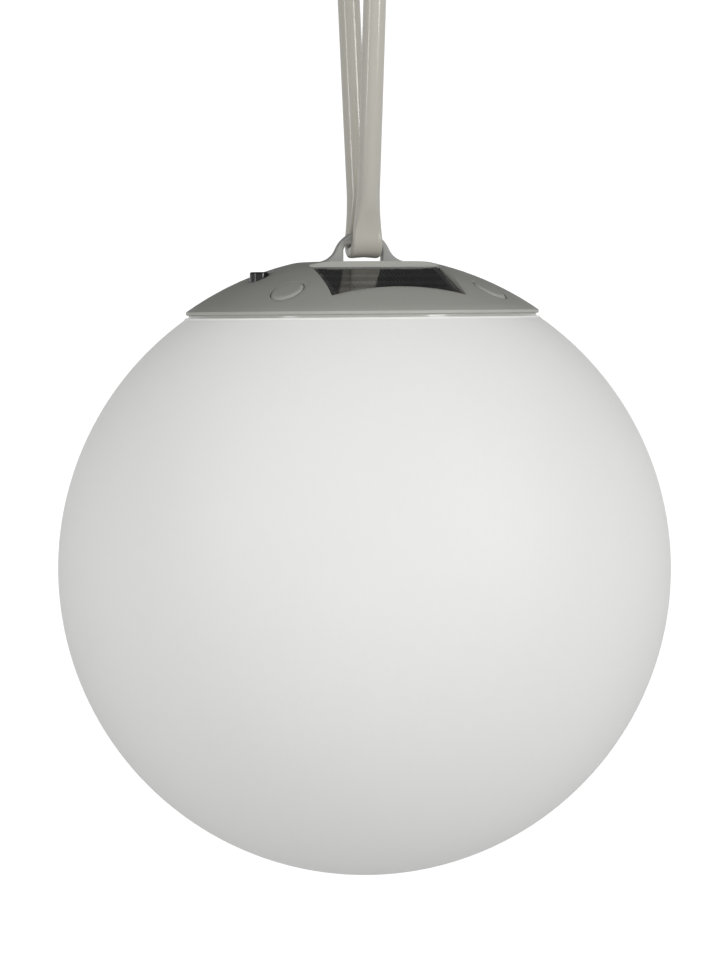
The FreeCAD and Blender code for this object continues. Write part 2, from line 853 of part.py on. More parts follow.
def make_button():
    at = (-s.button_x, -s.button_y)
    flange_top = s.sleeve_bottom - s.stop_gap
    bottom = flange_top - s.button_flange
    groove_depth = s.ring_section * 2 - s.sleeve_clearance + s.ring_clearance * 2
    groove_radius = s.button_radius - groove_depth
    ring_low = s.ring_height - s.ring_section - s.ring_clearance
    ring_high = s.ring_height + s.ring_section + s.ring_clearance
    seat_radius = s.plunger_radius + s.ring_clearance
    body = new_body("mode_button", *at)
    turn(body, [
        (seat_radius, bottom),
        (s.button_flange_radius, bottom),
        (s.button_flange_radius, flange_top),
        (s.button_radius, flange_top),
        (s.button_radius, ring_low),
        (groove_radius, ring_low),
        (groove_radius, ring_high),
        (s.button_radius, ring_high),
        (s.button_radius, s.button_top - s.button_round),
        (s.button_radius - s.button_round, s.button_top, s.button_round, "left"),
        (0, s.button_top),
        (0, bottom + s.plunger_seat),
        (seat_radius, bottom + s.plunger_seat),
    ])

    ring = doc.addObject("Part::Torus", "button_seal")
    ring.Label = "button_seal"
    ring_radius = s.button_radius + s.sleeve_clearance - s.ring_clearance - s.ring_section
    ring.setExpression("Radius1", ring_radius.text)
    ring.setExpression("Radius2", s.ring_section.text)
    ring.setExpression("Placement.Base.x", at[0].text)
    ring.setExpression("Placement.Base.y", at[1].text)
    ring.setExpression("Placement.Base.z", (s.ring_height - s.hang_height).text)

    plunger_top = bottom + s.plunger_seat
    rest_gap = s.button_travel + s.stop_gap
    plunger = new_body("switch_plunger", *at)
    pad_circles(plunger, [(0, 0)], s.plunger_radius, s.pcb_top + rest_gap, plunger_top)

    switch = new_body("push_switch", *at)
    half = s.switch_side * 0.5
    switch_top = s.pcb_top + s.switch_height
    block(switch, rectangle(-half, half, -half, half), s.pcb_top, switch_top)
    drill(switch, [(0, 0)], s.plunger_radius + s.plunger_clearance, s.pcb_top, switch_top)


# ---- control board ----------------------------------------------------------------------------

def make_control_board():
    body = new_body("control_board")
    bottom = s.pcb_top - s.pcb_thickness
    block(body, rectangle(-s.pcb_left, -s.pcb_right, -s.pcb_front, s.pcb_back), bottom, s.pcb_top)
    drill(body, pcb_screw_spots(), screw_hole, bottom, s.pcb_top)

    screws = new_body("board_screws")
    tip = s.pcb_top + s.pcb_screw_bite - s.stop_gap
    pad_circles(screws, pcb_screw_spots(), s.screw_radius, bottom, tip)
    pad_circles(screws, pcb_screw_spots(), s.small_head_radius, bottom - s.small_head_height, bottom)

    middle_x = (s.pcb_left + s.pcb_right) * -0.5
    chip = new_body("driver_chip", middle_x, s.chip_length)
    half_x = s.chip_width * 0.5
    half_y = s.chip_length * 0.5
    block(chip, rectangle(-half_x, half_x, -half_y, half_y), s.pcb_top, s.pcb_top + s.chip_height)

    coil = new_body("inductor", -s.pcb_right - s.coil_radius * 2, -s.coil_radius)
    pad_circles(coil, [(0, 0)], s.coil_radius, s.pcb_top, s.pcb_top + s.coil_height)

    cans = new_body("capacitors", middle_x, -s.pcb_front + s.can_radius * 2)
    spots = [(side * s.can_pitch * 0.5, 0) for side in MIRROR_PAIR]
    pad_circles(cans, spots, s.can_radius, s.pcb_top, s.pcb_top + s.can_height)


# ---- battery ------------------------------------------------------------------------------------

def ear_spots():
    ear_y = s.battery_y - s.cell_radius - s.battery_clearance - s.holder_wall - s.ear_reach * 0.5
    return [(side * s.ear_x, ear_y) for side in MIRROR_PAIR]


def make_battery():
    """A standard round cell lying across the tray in an open holder with two end contacts."""
    half_cell = s.cell_body_length * 0.5
    contact = s.contact_thickness + s.contact_bump
    inner_x = half_cell + contact
    inner_y = s.cell_radius + s.battery_clearance
    outer_x = inner_x + s.holder_wall
    outer_y = inner_y + s.holder_wall
    bottom = floor_top
    bed = bottom + s.holder_floor
    axis_height = bed + s.battery_clearance + s.cell_radius
    top = bottom + s.holder_height

    holder = new_body("battery_holder", 0, s.battery_y)
    block(holder, rectangle(-outer_x, outer_x, -outer_y, outer_y), bottom, top)
    cavity = new_sketch(holder, "XY_Plane", bed)
    draw_outline(cavity, rectangle(-inner_x, inner_x, -inner_y, inner_y))
    pocket(holder, cavity, top - bed)
    ear = new_sketch(holder, "XY_Plane", bottom)
    half_ear = s.ear_reach * 0.5
    for side in MIRROR_PAIR:
        centre = side * s.ear_x
        draw_outline(ear, rectangle(centre - half_ear, centre + half_ear,
                                    -outer_y - s.ear_reach, -outer_y))
    pad(holder, ear, s.ear_thickness)
    ears = [(x, y - s.battery_y) for x, y in ear_spots()]
    drill(holder, ears, screw_hole, bottom, bottom + s.ear_thickness)

    screws = new_body("holder_screws")
    ear_top = bottom + s.ear_thickness
    tip = floor_top - s.floor_boss_height + s.stop_gap
    pad_circles(screws, ear_spots(), s.screw_radius, tip, ear_top)
    pad_circles(screws, ear_spots(), s.small_head_radius, ear_top, ear_top + s.small_head_height)

    cell = doc.addObject("Part::Cylinder", "battery_cell")
    cell.Label = "battery_cell"
    cell.Placement = FreeCAD.Placement(
        FreeCAD.Vector(-half_cell.number, s.battery_y.number, axis_height.number - s.hang_height.number),
        FreeCAD.Rotation(FreeCAD.Vector(0, 1, 0), 90))
    cell.setExpression("Radius", s.cell_radius.text)
    cell.setExpression("Height", s.cell_body_length.text)
    cell.setExpression("Placement.Base.x", (-half_cell).text)
    cell.setExpression("Placement.Base.y", s.battery_y.text)
    cell.setExpression("Placement.Base.z", (axis_height - s.hang_height).text)

    plates = new_body("battery_contacts", 0, s.battery_y)
    side_view = new_sketch(plates, "XZ_Plane")
    for side in MIRROR_PAIR:
        wall_x = side * inner_x
        face_x = side * (inner_x - s.contact_thickness)
        draw_outline(side_view, rectangle(wall_x, face_x, bed, top))
    pad(plates, side_view, s.cell_radius, symmetric=True)
    bumps = new_sketch(plates, "XZ_Plane")
    reach = s.contact_bump_radius
    for side in MIRROR_PAIR:
        face_x = side * (inner_x - s.contact_thickness)
        end_x = side * half_cell
        low = axis_height - reach - s.contact_bump
        draw_outline(bumps, rectangle(face_x, end_x, low, low + reach))
    pad(plates, bumps, reach * 2, symmetric=True)


# ---- light board ----------------------------------------------------------------------------------

def led_screw_spots():
    return [(side * s.led_screw_x, 0) for side in MIRROR_PAIR]


def make_light():
    board_bottom = floor_bottom - s.pcb_thickness
    board = new_body("led_board")
    pad_circles(board, [(0, 0)], s.led_board_radius, board_bottom, floor_bottom)

    lights = new_body("leds")
    half = s.led_side * 0.5
    first = new_sketch(lights, "XY_Plane", board_bottom)
    draw_outline(first, rectangle(s.led_circle - half, s.led_circle + half, -half, half))
    pad(lights, first, s.led_height, down=True)
    ring = lights.newObject("PartDesign::PolarPattern", "leds_ring")
    ring.TransformMode = "Whole shape"
    ring.Axis = (next(item for item in lights.Origin.OriginFeatures if item.Role == "Z_Axis"), [""])
    ring.Angle = 360
    ring.Occurrences = LED_COUNT
    lights.Tip = ring

    cover = new_body("led_cover")
    wall = s.led_cover_wall
    outer = s.led_cover_radius
    inner = outer - wall
    flange_bottom = floor_bottom - wall
    edge = floor_bottom - s.led_cover_depth
    bulge = s.led_cover_bulge
    sag = bulge - root(bulge * bulge - outer * outer)
    inner_bulge = bulge - wall
    inner_sag = inner_bulge - root(inner_bulge * inner_bulge - inner * inner)
    pole = edge - sag
    turn(cover, [
        (s.led_flange_radius, floor_bottom),
        (inner, floor_bottom),
        (inner, pole + wall + inner_sag),
        (0, pole + wall, inner_bulge, "right"),
        (0, pole),
        (outer, edge, bulge, "left"),
        (outer, flange_bottom),
        (s.led_flange_radius, flange_bottom),
    ])
    drill(cover, led_screw_spots(), screw_hole, flange_bottom, floor_bottom)

    screws = new_body("led_screws")
    tip = floor_bottom + s.floor_boss_height - s.stop_gap
    pad_circles(screws, led_screw_spots(), s.screw_radius, flange_bottom, tip)
    pad_circles(screws, led_screw_spots(), s.small_head_radius,
                flange_bottom - s.small_head_height, flange_bottom)


# ---- soft pieces: strap and inner wires ---------------------------------------------------------------

def smooth_path(points, bends):
    """Straight runs joined by tangent arcs; bends holds one radius per inner point."""
    edges = []
    start = points[0]
    for before, corner, after, radius in zip(points, points[1:], points[2:], bends):
        into = (corner - before).normalize()
        out = (after - corner).normalize()
        half_turn = into.getAngle(out) / 2
        reach = radius * math.tan(half_turn)
        arc_start = corner - into * reach
        arc_end = corner + out * reach
        inward = (out - into).normalize()
        centre = corner + inward * (radius / math.cos(half_turn))
        arc_middle = centre - inward * radius
        edges.append(Part.LineSegment(start, arc_start).toShape())
        edges.append(Part.Arc(arc_start, arc_middle, arc_end).toShape())
        start = arc_end
    edges.append(Part.LineSegment(start, points[-1]).toShape())
    return Part.Wire(edges)


def tube_along(path, radius):
    first = path.Edges[0]
    start = first.valueAt(first.FirstParameter)
    ring = Part.Wire(Part.makeCircle(radius, start, first.tangentAt(first.FirstParameter)))
    tube = path.makePipeShell([ring], True, True)
    length_error = abs(tube.Volume - math.pi * radius ** 2 * path.Length)
    print(f"tube length {path.Length:.1f} mm, volume off by {length_error:.2f} mm3")
    return tube


def soft_feature(label, shape):
    made = doc.addObject("Part::Feature", label)
    made.Label = label
    made.Shape = shape
    made.Placement = FreeCAD.Placement(FreeCAD.Vector(0, 0, -s.hang_height.number), FreeCAD.Rotation())
    return made


def closed_section(spots, middles):
    """A closed wire of arcs and lines: middles holds a mid point, or None for a line."""
    edges = []
    for index, middle in enumerate(middles):
        start = spots[index]
        end = spots[(index + 1) % len(spots)]
        if middle is None:
            edges.append(Part.LineSegment(start, end).toShape())
        else:
            edges.append(Part.Arc(start, middle, end).toShape())
    return Part.Wire(edges)


def flat_section(centre, outward, across, width, thickness):
    """The pressed tube: two flats and four quarter arcs, seen along the strand."""
    r = thickness / 2
    c = width / 2 - r
    slant = r * math.sqrt(0.5)

    def at(u, v):
        return centre + across * u + outward * v
    spots = [at(-c, -r), at(c, -r), at(c + r, 0), at(c, r), at(-c, r), at(-c - r, 0)]
    middles = [None, at(c + slant, -slant), at(c + slant, slant), None,
               at(-c - slant, slant), at(-c - slant, -slant)]
    return closed_section(spots, middles)


def round_section(centre, outward, across, radius, flat_angle):
    """The round tube in six arcs, two short ones standing where the flats end."""
    def at(degrees):
        angle = math.radians(degrees)
        return centre + across * (radius * math.cos(angle)) + outward * (radius * math.sin(angle))
    marks = [-90 - flat_angle, -90 + flat_angle, 0, 90 - flat_angle, 90 + flat_angle, 180]
    spots = [at(mark) for mark in marks]
    middles = []
    for index, mark in enumerate(marks):
        following = marks[(index + 1) % len(marks)]
        if following < mark:
            following += 360
        middles.append(at((mark + following) / 2))
    return closed_section(spots, middles)


# The strap's route in the rim frame, chosen by hand: front strand, round the hook, back strand.
# Its first and last points are where the pressed fold is round again.
STRAP_ROUTE = [
    (1.2, -9.2, 56.0),
    (3.2, -26.0, 212.7),
    (2.1, -11.1, 229.3),
    (0.2, 11.1, 229.3),
    (-0.9, 26.0, 212.7),
    (0.7, 9.2, 56.0),
]
BEND_SHARE = 0.45


def strap_points():
    """The route, with its top at the loop's height and its foot at the height of the bar."""
    loop_top = s.hang_height.number + s.tube_diameter.number / 2
    foot = bar_height.number + s.fold_blend.number
    top_shift = loop_top - STRAP_ROUTE[2][2]
    points = [FreeCAD.Vector(x, y, z + top_shift) for x, y, z in STRAP_ROUTE]
    for end in (0, -1):
        points[end].z = foot
    return points


def bend_radii(points):
    radii = []
    for before, corner, after in zip(points, points[1:], points[2:]):
        half_turn = (corner - before).getAngle(after - corner) / 2
        shorter = min((corner - before).Length, (after - corner).Length)
        radii.append(BEND_SHARE * shorter / math.tan(half_turn))
    return radii


def make_strap():
    """Hollow soft tube: pressed flat round the bar, round above it, closed by a joiner."""
    radius = s.tube_diameter.number / 2
    points = strap_points()
    radii = bend_radii(points)
    print("strap bend radii", [round(value, 1) for value in radii])
    lean = math.atan2(points[1].z - points[0].z, points[0].y - points[1].y)
    lean = math.pi / 2 - lean
    corner = s.eye_round.number
    half_deep = s.eye_thickness.number / 2 - corner
    half_tall = (s.eye_height.number - s.slot_height.number) / 2 - corner
    bar_radius = math.hypot(half_deep, half_tall) + corner
    fold_radius = bar_radius + s.fold_clearance.number + s.fold_thickness.number / 2
    pivot = FreeCAD.Vector(s.fold_shift.number, 0, bar_height.number)
    across = FreeCAD.Vector(1, 0, 0)

    # fold: the flat section turned under the bar from the front strand to the back one
    outward = FreeCAD.Vector(0, -math.cos(lean), -math.sin(lean))
    width = s.fold_width.number
    thickness = s.fold_thickness.number
    front_flat = flat_section(pivot + outward * fold_radius, outward, across, width, thickness)
    wrap = 180 - 2 * math.degrees(lean)
    fold = Part.Face(front_flat).revolve(pivot, across, wrap)
    back_outward = FreeCAD.Vector(0, math.cos(lean), -math.sin(lean))
    back_flat = flat_section(pivot + back_outward * fold_radius, back_outward, -across, width, thickness)

    # blends from the flat section to the round tube
    flat_angle = s.fold_flat_angle.number
    pieces = [fold]
    for end, following, outer, side, flat in (
            (points[0], points[1], outward, across, front_flat),
            (points[-1], points[-2], back_outward, -across, back_flat)):
        along = (following - end).normalize()
        out = (outer - along * outer.dot(along)).normalize()
        flat_across = (side - along * side.dot(along) - out * side.dot(out)).normalize()
        ring = round_section(end, out, flat_across, radius, flat_angle)
        pieces.append(Part.makeLoft([flat, ring], True, True))

    # the round strands stop at the joiner's flange on the back strand
    joint = s.joiner_height.number
    share = (joint - points[-1].z) / (points[-2].z - points[-1].z)
    middle = points[-1] + (points[-2] - points[-1]) * share
    along = (points[-2] - points[-1]).normalize()
    half_flange = s.joiner_flange.number / 2
    barb = s.joiner_barb_length.number
    bore = s.tube_bore.number / 2
    upper = smooth_path(points[:-1] + [middle + along * half_flange], radii)
    pieces.append(tube_along(upper, radius))
    lower_end = middle - along * half_flange
    pieces.append(Part.makeCylinder(radius, (lower_end - points[-1]).Length, points[-1], along))
    tube = pieces[0].fuse(pieces[1:])
    bore_depth = barb + s.joiner_taper.number
    for face, way in ((middle + along * half_flange, along), (lower_end, -along)):
        tube = tube.cut(Part.makeCylinder(bore, bore_depth, face, way))
    tube = tube.removeSplitter()
    print(f"strap solids {len(tube.Solids)}, volume {tube.Volume:.0f}")
    soft_feature("hanging_tube", tube.Solids[0])

    joiner = doc.addObject("PartDesign::Body", "tube_joiner")
    joiner.Label = "tube_joiner"
    half = s.joiner_flange * 0.5
    stem = s.tube_bore * 0.5 - s.joiner_fit
    length = half + s.joiner_barb_length
    tip = stem - s.joiner_taper
    turn(joiner, [
        (0, -length),
        (tip, -length),
        (stem, -length + s.joiner_flange),
        (stem, -half),
        (s.joiner_flange_radius, -half),
        (s.joiner_flange_radius, half),
        (stem, half),
        (stem, length - s.joiner_flange),
        (tip, length),
        (0, length),
    ])
    spot = middle - FreeCAD.Vector(0, 0, s.hang_height.number)
    joiner.Placement = FreeCAD.Placement(spot, FreeCAD.Rotation(FreeCAD.Vector(0, 0, 1), along))


def wire_pair(label, route, spread):
    """Two thin wires side by side along one route, as one node of two solids."""
    bend = s.wire_bend.number
    solids = []
    for side in (-0.5, 0.5):
        shift = spread * (side * s.wire_pitch.number)
        points = [FreeCAD.Vector(*spot) + shift for spot in route]
        path = smooth_path(points, [bend] * (len(points) - 2))
        solids.append(tube_along(path, s.wire_radius.number))
    soft_feature(label, Part.makeCompound(solids))


def make_wires():
    top = s.pcb_top.number
    right = -s.pcb_right.number - s.wire_inset.number
    loft = top + s.wire_rise.number
    step = s.wire_step.number
    hole_x = -s.lead_hole_x.number
    hole_y = -s.lead_hole_y.number
    board_back = panel_height(-s.lead_hole_y, panel_stack).number - s.wire_bite.number
    along_y = FreeCAD.Vector(0, 1, 0)
    along_x = FreeCAD.Vector(1, 0, 0)
    wire_pair("panel_leads", [
        (hole_x, hole_y, board_back), (hole_x, hole_y, loft),
        (right, hole_y + step, loft), (right, hole_y + step, top),
    ], along_y)

    lead_x = s.led_lead_x.number
    wire_pair("led_leads", [
        (lead_x, 0, floor_bottom.number), (lead_x, 0, loft),
        (right, 0, loft), (right, 0, top),
    ], along_y)

    contact_x = s.cell_body_length.number / 2 + s.contact_bump.number + s.contact_thickness.number / 2
    contact_top = floor_top.number + s.holder_height.number
    battery_y = s.battery_y.number
    landing_y = -s.battery_landing.number
    bend = s.wire_bend.number
    solids = []
    for side, landing in zip(MIRROR_PAIR, (0, s.wire_pitch.number)):
        height = loft + s.wire_pitch.number + landing
        route = [
            (side * contact_x, battery_y, contact_top),
            (side * contact_x, battery_y, height),
            (right - landing, landing_y, height),
            (right - landing, landing_y, top),
        ]
        path = smooth_path([FreeCAD.Vector(*spot) for spot in route], [bend, bend])
        solids.append(tube_along(path, s.wire_radius.number))
    soft_feature("battery_leads", Part.makeCompound(solids))


# ---- build, check and write ------------------------------------------------------------------------------

make_cap_dome()
make_hanging_eye()
make_eye_screws()
make_screw_plugs()
make_cap_screws()
make_panel()
make_base_tray()
make_seals()
make_clamp_halves()
make_globe_shell()
make_button()
make_control_board()
make_battery()
make_light()
make_strap()
make_wires()
doc.recompute()

for item in doc.Objects:
    if "Invalid" in item.State or "Error" in item.State:
        raise RuntimeError(f"{item.Name} failed: {item.State}")

NODE_KINDS = ("PartDesign::Body", "Part::Torus", "Part::Cylinder", "Part::Feature")
nodes = [item for item in doc.Objects if item.TypeId in NODE_KINDS]
for node in nodes:
    if node.Shape.isNull() or not node.Shape.isValid() or not node.Shape.Solids:
        raise RuntimeError(f"{node.Label} is not a valid solid")

os.makedirs("parts", exist_ok=True)
for node in nodes:
    node.Shape.exportStep(f"parts/{node.Label}.step")
    print(f"{node.Label:18s} solids {len(node.Shape.Solids)}  volume {node.Shape.Volume:10.1f}")
print("nodes", len(nodes))
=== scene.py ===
import math

import bmesh
import bpy
from mathutils import Euler, Matrix, Vector


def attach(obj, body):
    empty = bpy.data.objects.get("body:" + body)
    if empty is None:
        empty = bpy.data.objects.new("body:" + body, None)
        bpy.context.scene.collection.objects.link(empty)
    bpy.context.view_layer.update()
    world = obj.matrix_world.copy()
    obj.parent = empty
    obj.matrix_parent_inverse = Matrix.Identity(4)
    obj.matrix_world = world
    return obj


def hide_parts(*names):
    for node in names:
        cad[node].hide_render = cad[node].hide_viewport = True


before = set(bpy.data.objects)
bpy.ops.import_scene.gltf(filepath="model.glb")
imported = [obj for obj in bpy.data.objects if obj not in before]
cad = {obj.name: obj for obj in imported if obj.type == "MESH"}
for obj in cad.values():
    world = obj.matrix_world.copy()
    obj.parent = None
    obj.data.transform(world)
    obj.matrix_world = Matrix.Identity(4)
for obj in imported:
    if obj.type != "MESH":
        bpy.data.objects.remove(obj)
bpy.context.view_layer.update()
scene = bpy.context.scene

# ---- studio -----------------------------------------------------------------------------
# A white room with a pale floor, two tall narrow softboxes and three broad lights.
# The lamp hangs with its cap's rim at the camera's height, and is seen 15 degrees off its front.

# the height of the cap's rim, from which the lights and the upper pieces are placed
RIM = -0.2238
camera_distance = 1.389
camera_side = math.radians(15)
look_down = math.radians(3.386)
camera_roll = math.radians(0.50)
sideways_turn = math.radians(0.026)

camera = bpy.data.objects.new("camera", bpy.data.cameras.new("camera"))
scene.collection.objects.link(camera)
camera.data.sensor_fit = "VERTICAL"
camera.data.sensor_height = 36
camera.data.lens = 106.2
camera.data.clip_end = 50
turn = (Euler((math.radians(90) - look_down, 0, sideways_turn - camera_side)).to_matrix()
        @ Euler((0, 0, -camera_roll)).to_matrix())
camera.matrix_world = Matrix.Translation((
    -camera_distance * math.sin(camera_side), -camera_distance * math.cos(camera_side), RIM)) @ turn.to_4x4()
scene.camera = camera
scene.view_settings.view_transform = "Standard"


def softbox(name, azimuth, height, distance, width, tall, power, streak=True):
    """An area light that faces the lamp, its azimuth counted from the camera's side."""
    angle = math.radians(azimuth) + camera_side
    lamp = bpy.data.lights.new(name, "AREA")
    lamp.shape = "RECTANGLE"
    lamp.size = width
    lamp.size_y = tall
    lamp.energy = power
    holder = bpy.data.objects.new(name, lamp)
    scene.collection.objects.link(holder)
    place = Vector((-math.sin(angle) * distance, -math.cos(angle) * distance, RIM + height))
    holder.location = place
    holder.rotation_euler = (Vector((0, 0, RIM)) - place).to_track_quat("-Z", "Y").to_euler()
    holder.visible_glossy = streak
    return holder


# the two narrow ones are mirrored as streaks in every glossy edge; the broad ones only spread light
softbox("left softbox", azimuth=49, height=0.4, distance=1.8, width=0.28, tall=0.9, power=4.5)
softbox("right softbox", azimuth=-50, height=0.4, distance=1.8, width=0.36, tall=0.9, power=9.5)
softbox("front softbox", azimuth=0, height=0.1, distance=2.4, width=1.6, tall=1.6, power=12.6, streak=False)
softbox("high right softbox", azimuth=-62, height=1.3, distance=1.8, width=1.0, tall=1.0, power=2.4,
        streak=False)
softbox("back softbox", azimuth=180, height=0.1, distance=1.8, width=1.2, tall=0.8, power=7.0, streak=False)


def put(tree, kind, settings=None, **feeds):
    """A node with its settings, and each input fed by a socket or set to a value.

    In an input's name an underscore stands for a space, and _6 means the input at place 6.
    """
    node = tree.nodes.new(kind)
    for name, value in (settings or {}).items():
        setattr(node, name, value)
    for name, feed in feeds.items():
        plain = name.replace("_", " ").strip()
        socket = node.inputs[int(plain)] if plain.isdigit() else node.inputs[plain]
        for item in (feed if isinstance(feed, list) else [feed]):
            if isinstance(item, bpy.types.NodeSocket):
                tree.links.new(item, socket)
            else:
                socket.default_value = item
    return node.outputs


def seen_or_lit(tree, seen, lit):
    """The camera sees the first shader, and the second one lights the lamp."""
    is_seen = put(tree, "ShaderNodeLightPath")["Is Camera Ray"]
    return put(tree, "ShaderNodeMixShader", _0=is_seen, _1=lit, _2=seen)["Shader"]


# the room is bright at the lamp's height and dark above, and the camera sees it plain white
seen_white = 1.1
WALL_SHADES = ((0.38, 0.60), (0.42, 0.76), (0.58, 0.76), (0.63, 0.11), (0.80, 0.08))
world = bpy.data.worlds.new("white room")
scene.world = world
world.use_nodes = True
room = world.node_tree
room.nodes.clear()
upward = put(room, "ShaderNodeSeparateXYZ", Vector=put(room, "ShaderNodeTexCoord")["Generated"])["Z"]
height = put(room, "ShaderNodeMapRange", Value=upward, From_Min=-1.0)["Result"]
shades = put(room, "ShaderNodeValToRGB", Fac=height)["Color"]
marks = shades.node.color_ramp.elements
for stop, (place, shade) in enumerate(WALL_SHADES):
    mark = marks[stop] if stop < 2 else marks.new(place)
    mark.position = place
    mark.color = (shade, shade, shade, 1)
walls = put(room, "ShaderNodeBackground", Color=shades, Strength=1.0)["Background"]
seen = put(room, "ShaderNodeBackground", Color=(1, 1, 1, 1), Strength=seen_white)["Background"]
put(room, "ShaderNodeOutputWorld", Surface=seen_or_lit(room, seen, walls))

floor_reach = 6.0
floor_height = -1.25
floor_glow = 0.58
floor_mesh = bpy.data.meshes.new("floor")
floor_shape = bmesh.new()
bmesh.ops.create_grid(floor_shape, x_segments=8, y_segments=8, size=floor_reach,
                      matrix=Matrix.Translation((0, 0, floor_height)))
floor_shape.to_mesh(floor_mesh)
floor_shape.free()
floor = bpy.data.objects.new("floor", floor_mesh)
scene.collection.objects.link(floor)
pale = bpy.data.materials.new("pale floor")
pale.use_nodes = True
paint = pale.node_tree
paint.nodes.clear()
glow = put(paint, "ShaderNodeEmission", Strength=floor_glow)["Emission"]
seen = put(paint, "ShaderNodeEmission", Strength=seen_white)["Emission"]
put(paint, "ShaderNodeOutputMaterial", Surface=seen_or_lit(paint, seen, glow))
floor_mesh.materials.append(pale)

# ---- hanging tube -----------------------------------------------------------------------
# One soft hollow tube, 11 mm thick, closed into a loop by a barbed joiner on its back strand.
# It is extruded from warm grey rubber, and lies pressed flat where it folds under the eye's bar.
# The joiner is moulded in clear plastic, and its barbs hold it in the tube's two ends.

tube_radius = 0.0055
tube_bore = 0.0032
bore_depth = 0.015
bore_rim = 0.003
fold_width = 0.0162
fold_thickness = 0.0060
fold_dip = 0.26
fold_squareness = 0.42
fold_flatness = 4
# the tube goes from round to pressed between these heights above the cap's rim
WIDENS = (0.060, 0.022)
THINS = (0.058, 0.036)
SIDES = 40
LINE_STEPS = 24
TUBE_ROUTE = [
    (-0.00056, 0.02240, -0.0448),
    (0.00070, 0.00920, -0.1675),
    (0.00085, 0.00712, -0.1800),
    (0.00090, 0.00712, -0.19462),
    (0.00090, -0.00712, -0.19462),
    (0.00095, -0.00712, -0.1800),
    (0.00120, -0.00920, -0.1675),
    (0.00320, -0.02600, -0.0111),
    (0.00210, -0.01110, 0.0055),
    (0.00020, 0.01110, 0.0055),
    (-0.00090, 0.02600, -0.0111),
    (-0.00058, 0.02262, -0.0428),
]


def line_along(name, route, steps):
    """Points along the smooth curve that has the route's points as its control points."""
    curve = bpy.data.curves.new(name, "CURVE")
    curve.dimensions = "3D"
    curve.resolution_u = steps
    run = curve.splines.new("NURBS")
    run.points.add(len(route) - 1)
    for point, spot in zip(run.points, route):
        point.co = (*spot, 1)
    run.order_u = 3
    run.use_endpoint_u = True
    holder = bpy.data.objects.new(name, curve)
    scene.collection.objects.link(holder)
    line = bpy.data.meshes.new_from_object(holder.evaluated_get(bpy.context.evaluated_depsgraph_get()))
    points = [vertex.co.copy() for vertex in line.vertices]
    bpy.data.objects.remove(holder)
    bpy.data.meshes.remove(line)
    return points


def soft_step(low, high, value):
    """A share that eases from 0 at the low value to 1 at the high one."""
    share = min(1, max(0, (value - low) / (high - low)))
    return share * share * (3 - 2 * share)


def new_piece(name, mesh, body):
    """A mesh as a piece that rides on one body of the lamp."""
    piece = bpy.data.objects.new(name, mesh)
    scene.collection.objects.link(piece)
    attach(piece, body)
    return piece


tube_line = line_along("tube line", TUBE_ROUTE, LINE_STEPS)
tube_shape = bmesh.new()
tube_uv = tube_shape.loops.layers.uv.new("tube")


def tube_ring(centre, along, half_wide, half_thick, pressed=0.0):
    """A closed section: round, or pressed flat, with fuller sides and a shallow dip between them."""
    across = (Vector((1, 0, 0)) - along * along.x).normalized()
    out = along.cross(across)
    straight = half_wide - half_thick
    squareness = 1 - fold_squareness * pressed
    ring = []
    for step in range(SIDES):
        angle = 2 * math.pi * step / SIDES
        side, face = math.cos(angle), math.sin(angle)
        end = math.copysign(abs(side) ** squareness, side)
        u = half_thick * end + straight * math.tanh(fold_flatness * side) / math.tanh(fold_flatness)
        dip = 1 - fold_dip * pressed * (1 - (u / half_wide) ** 2) ** 2
        v = half_thick * math.copysign(abs(face) ** squareness, face) * dip
        ring.append(tube_shape.verts.new(centre + across * u + out * v))
    return ring


def join_rings(first, second, start, end):
    """A row of faces between two sections, mapped from start to end along the tube."""
    for step in range(SIDES):
        following = (step + 1) % SIDES
        face = tube_shape.faces.new((first[step], first[following], second[following], second[step]))
        face.smooth = True
        for loop, spot in zip(face.loops, ((step, start), (step + 1, start), (step + 1, end), (step, end))):
            loop[tube_uv].uv = (spot[0] / SIDES, spot[1])


def run_direction(points, index):
    """The way that a line of points runs at one of them."""
    return (points[min(index + 1, len(points) - 1)] - points[max(index - 1, 0)]).normalized()


travelled = 0
rings = []
for index, point in enumerate(tube_line):
    direction = run_direction(tube_line, index)
    height = point.z - RIM
    wide = soft_step(*WIDENS, height)
    thin = soft_step(*THINS, height)
    if index:
        travelled += (point - tube_line[index - 1]).length
    rings.append((tube_ring(point, direction,
                            tube_radius + (fold_width / 2 - tube_radius) * wide,
                            tube_radius + (fold_thickness / 2 - tube_radius) * thin, wide), travelled))
for (first, start), (second, end) in zip(rings, rings[1:]):
    join_rings(first, second, start, end)
# each end opens into a short bore for the joiner
for end, outer_ring in ((0, rings[0][0]), (-1, rings[-1][0])):
    inward = tube_line if end == 0 else list(reversed(tube_line))
    direction = run_direction(tube_line, end % len(tube_line))
    bottom = next(point for point in inward if (point - inward[0]).length > bore_depth)
    before = outer_ring
    for centre in (inward[0], bottom):
        bore = tube_ring(centre, direction, tube_bore, tube_bore)
        first, second = (bore, before) if end == 0 else (before, bore)
        join_rings(first, second, 0, bore_rim)
        before = bore
    tube_shape.faces.new(before if end == 0 else list(reversed(before)))
bmesh.ops.recalc_face_normals(tube_shape, faces=tube_shape.faces)
tube_mesh = bpy.data.meshes.new("hanging tube")
tube_shape.to_mesh(tube_mesh)
tube_shape.free()


def plain_colour(colour):
    """The colour that a shader takes for one that is given as it looks, from 0 to 255."""
    return (*(value / 255 / 12.92 if value <= 10 else ((value / 255 + 0.055) / 1.055) ** 2.4
              for value in colour), 1)


def main_shader(material):
    """The one shader of a material."""
    return material.node_tree.nodes["Principled BSDF"]


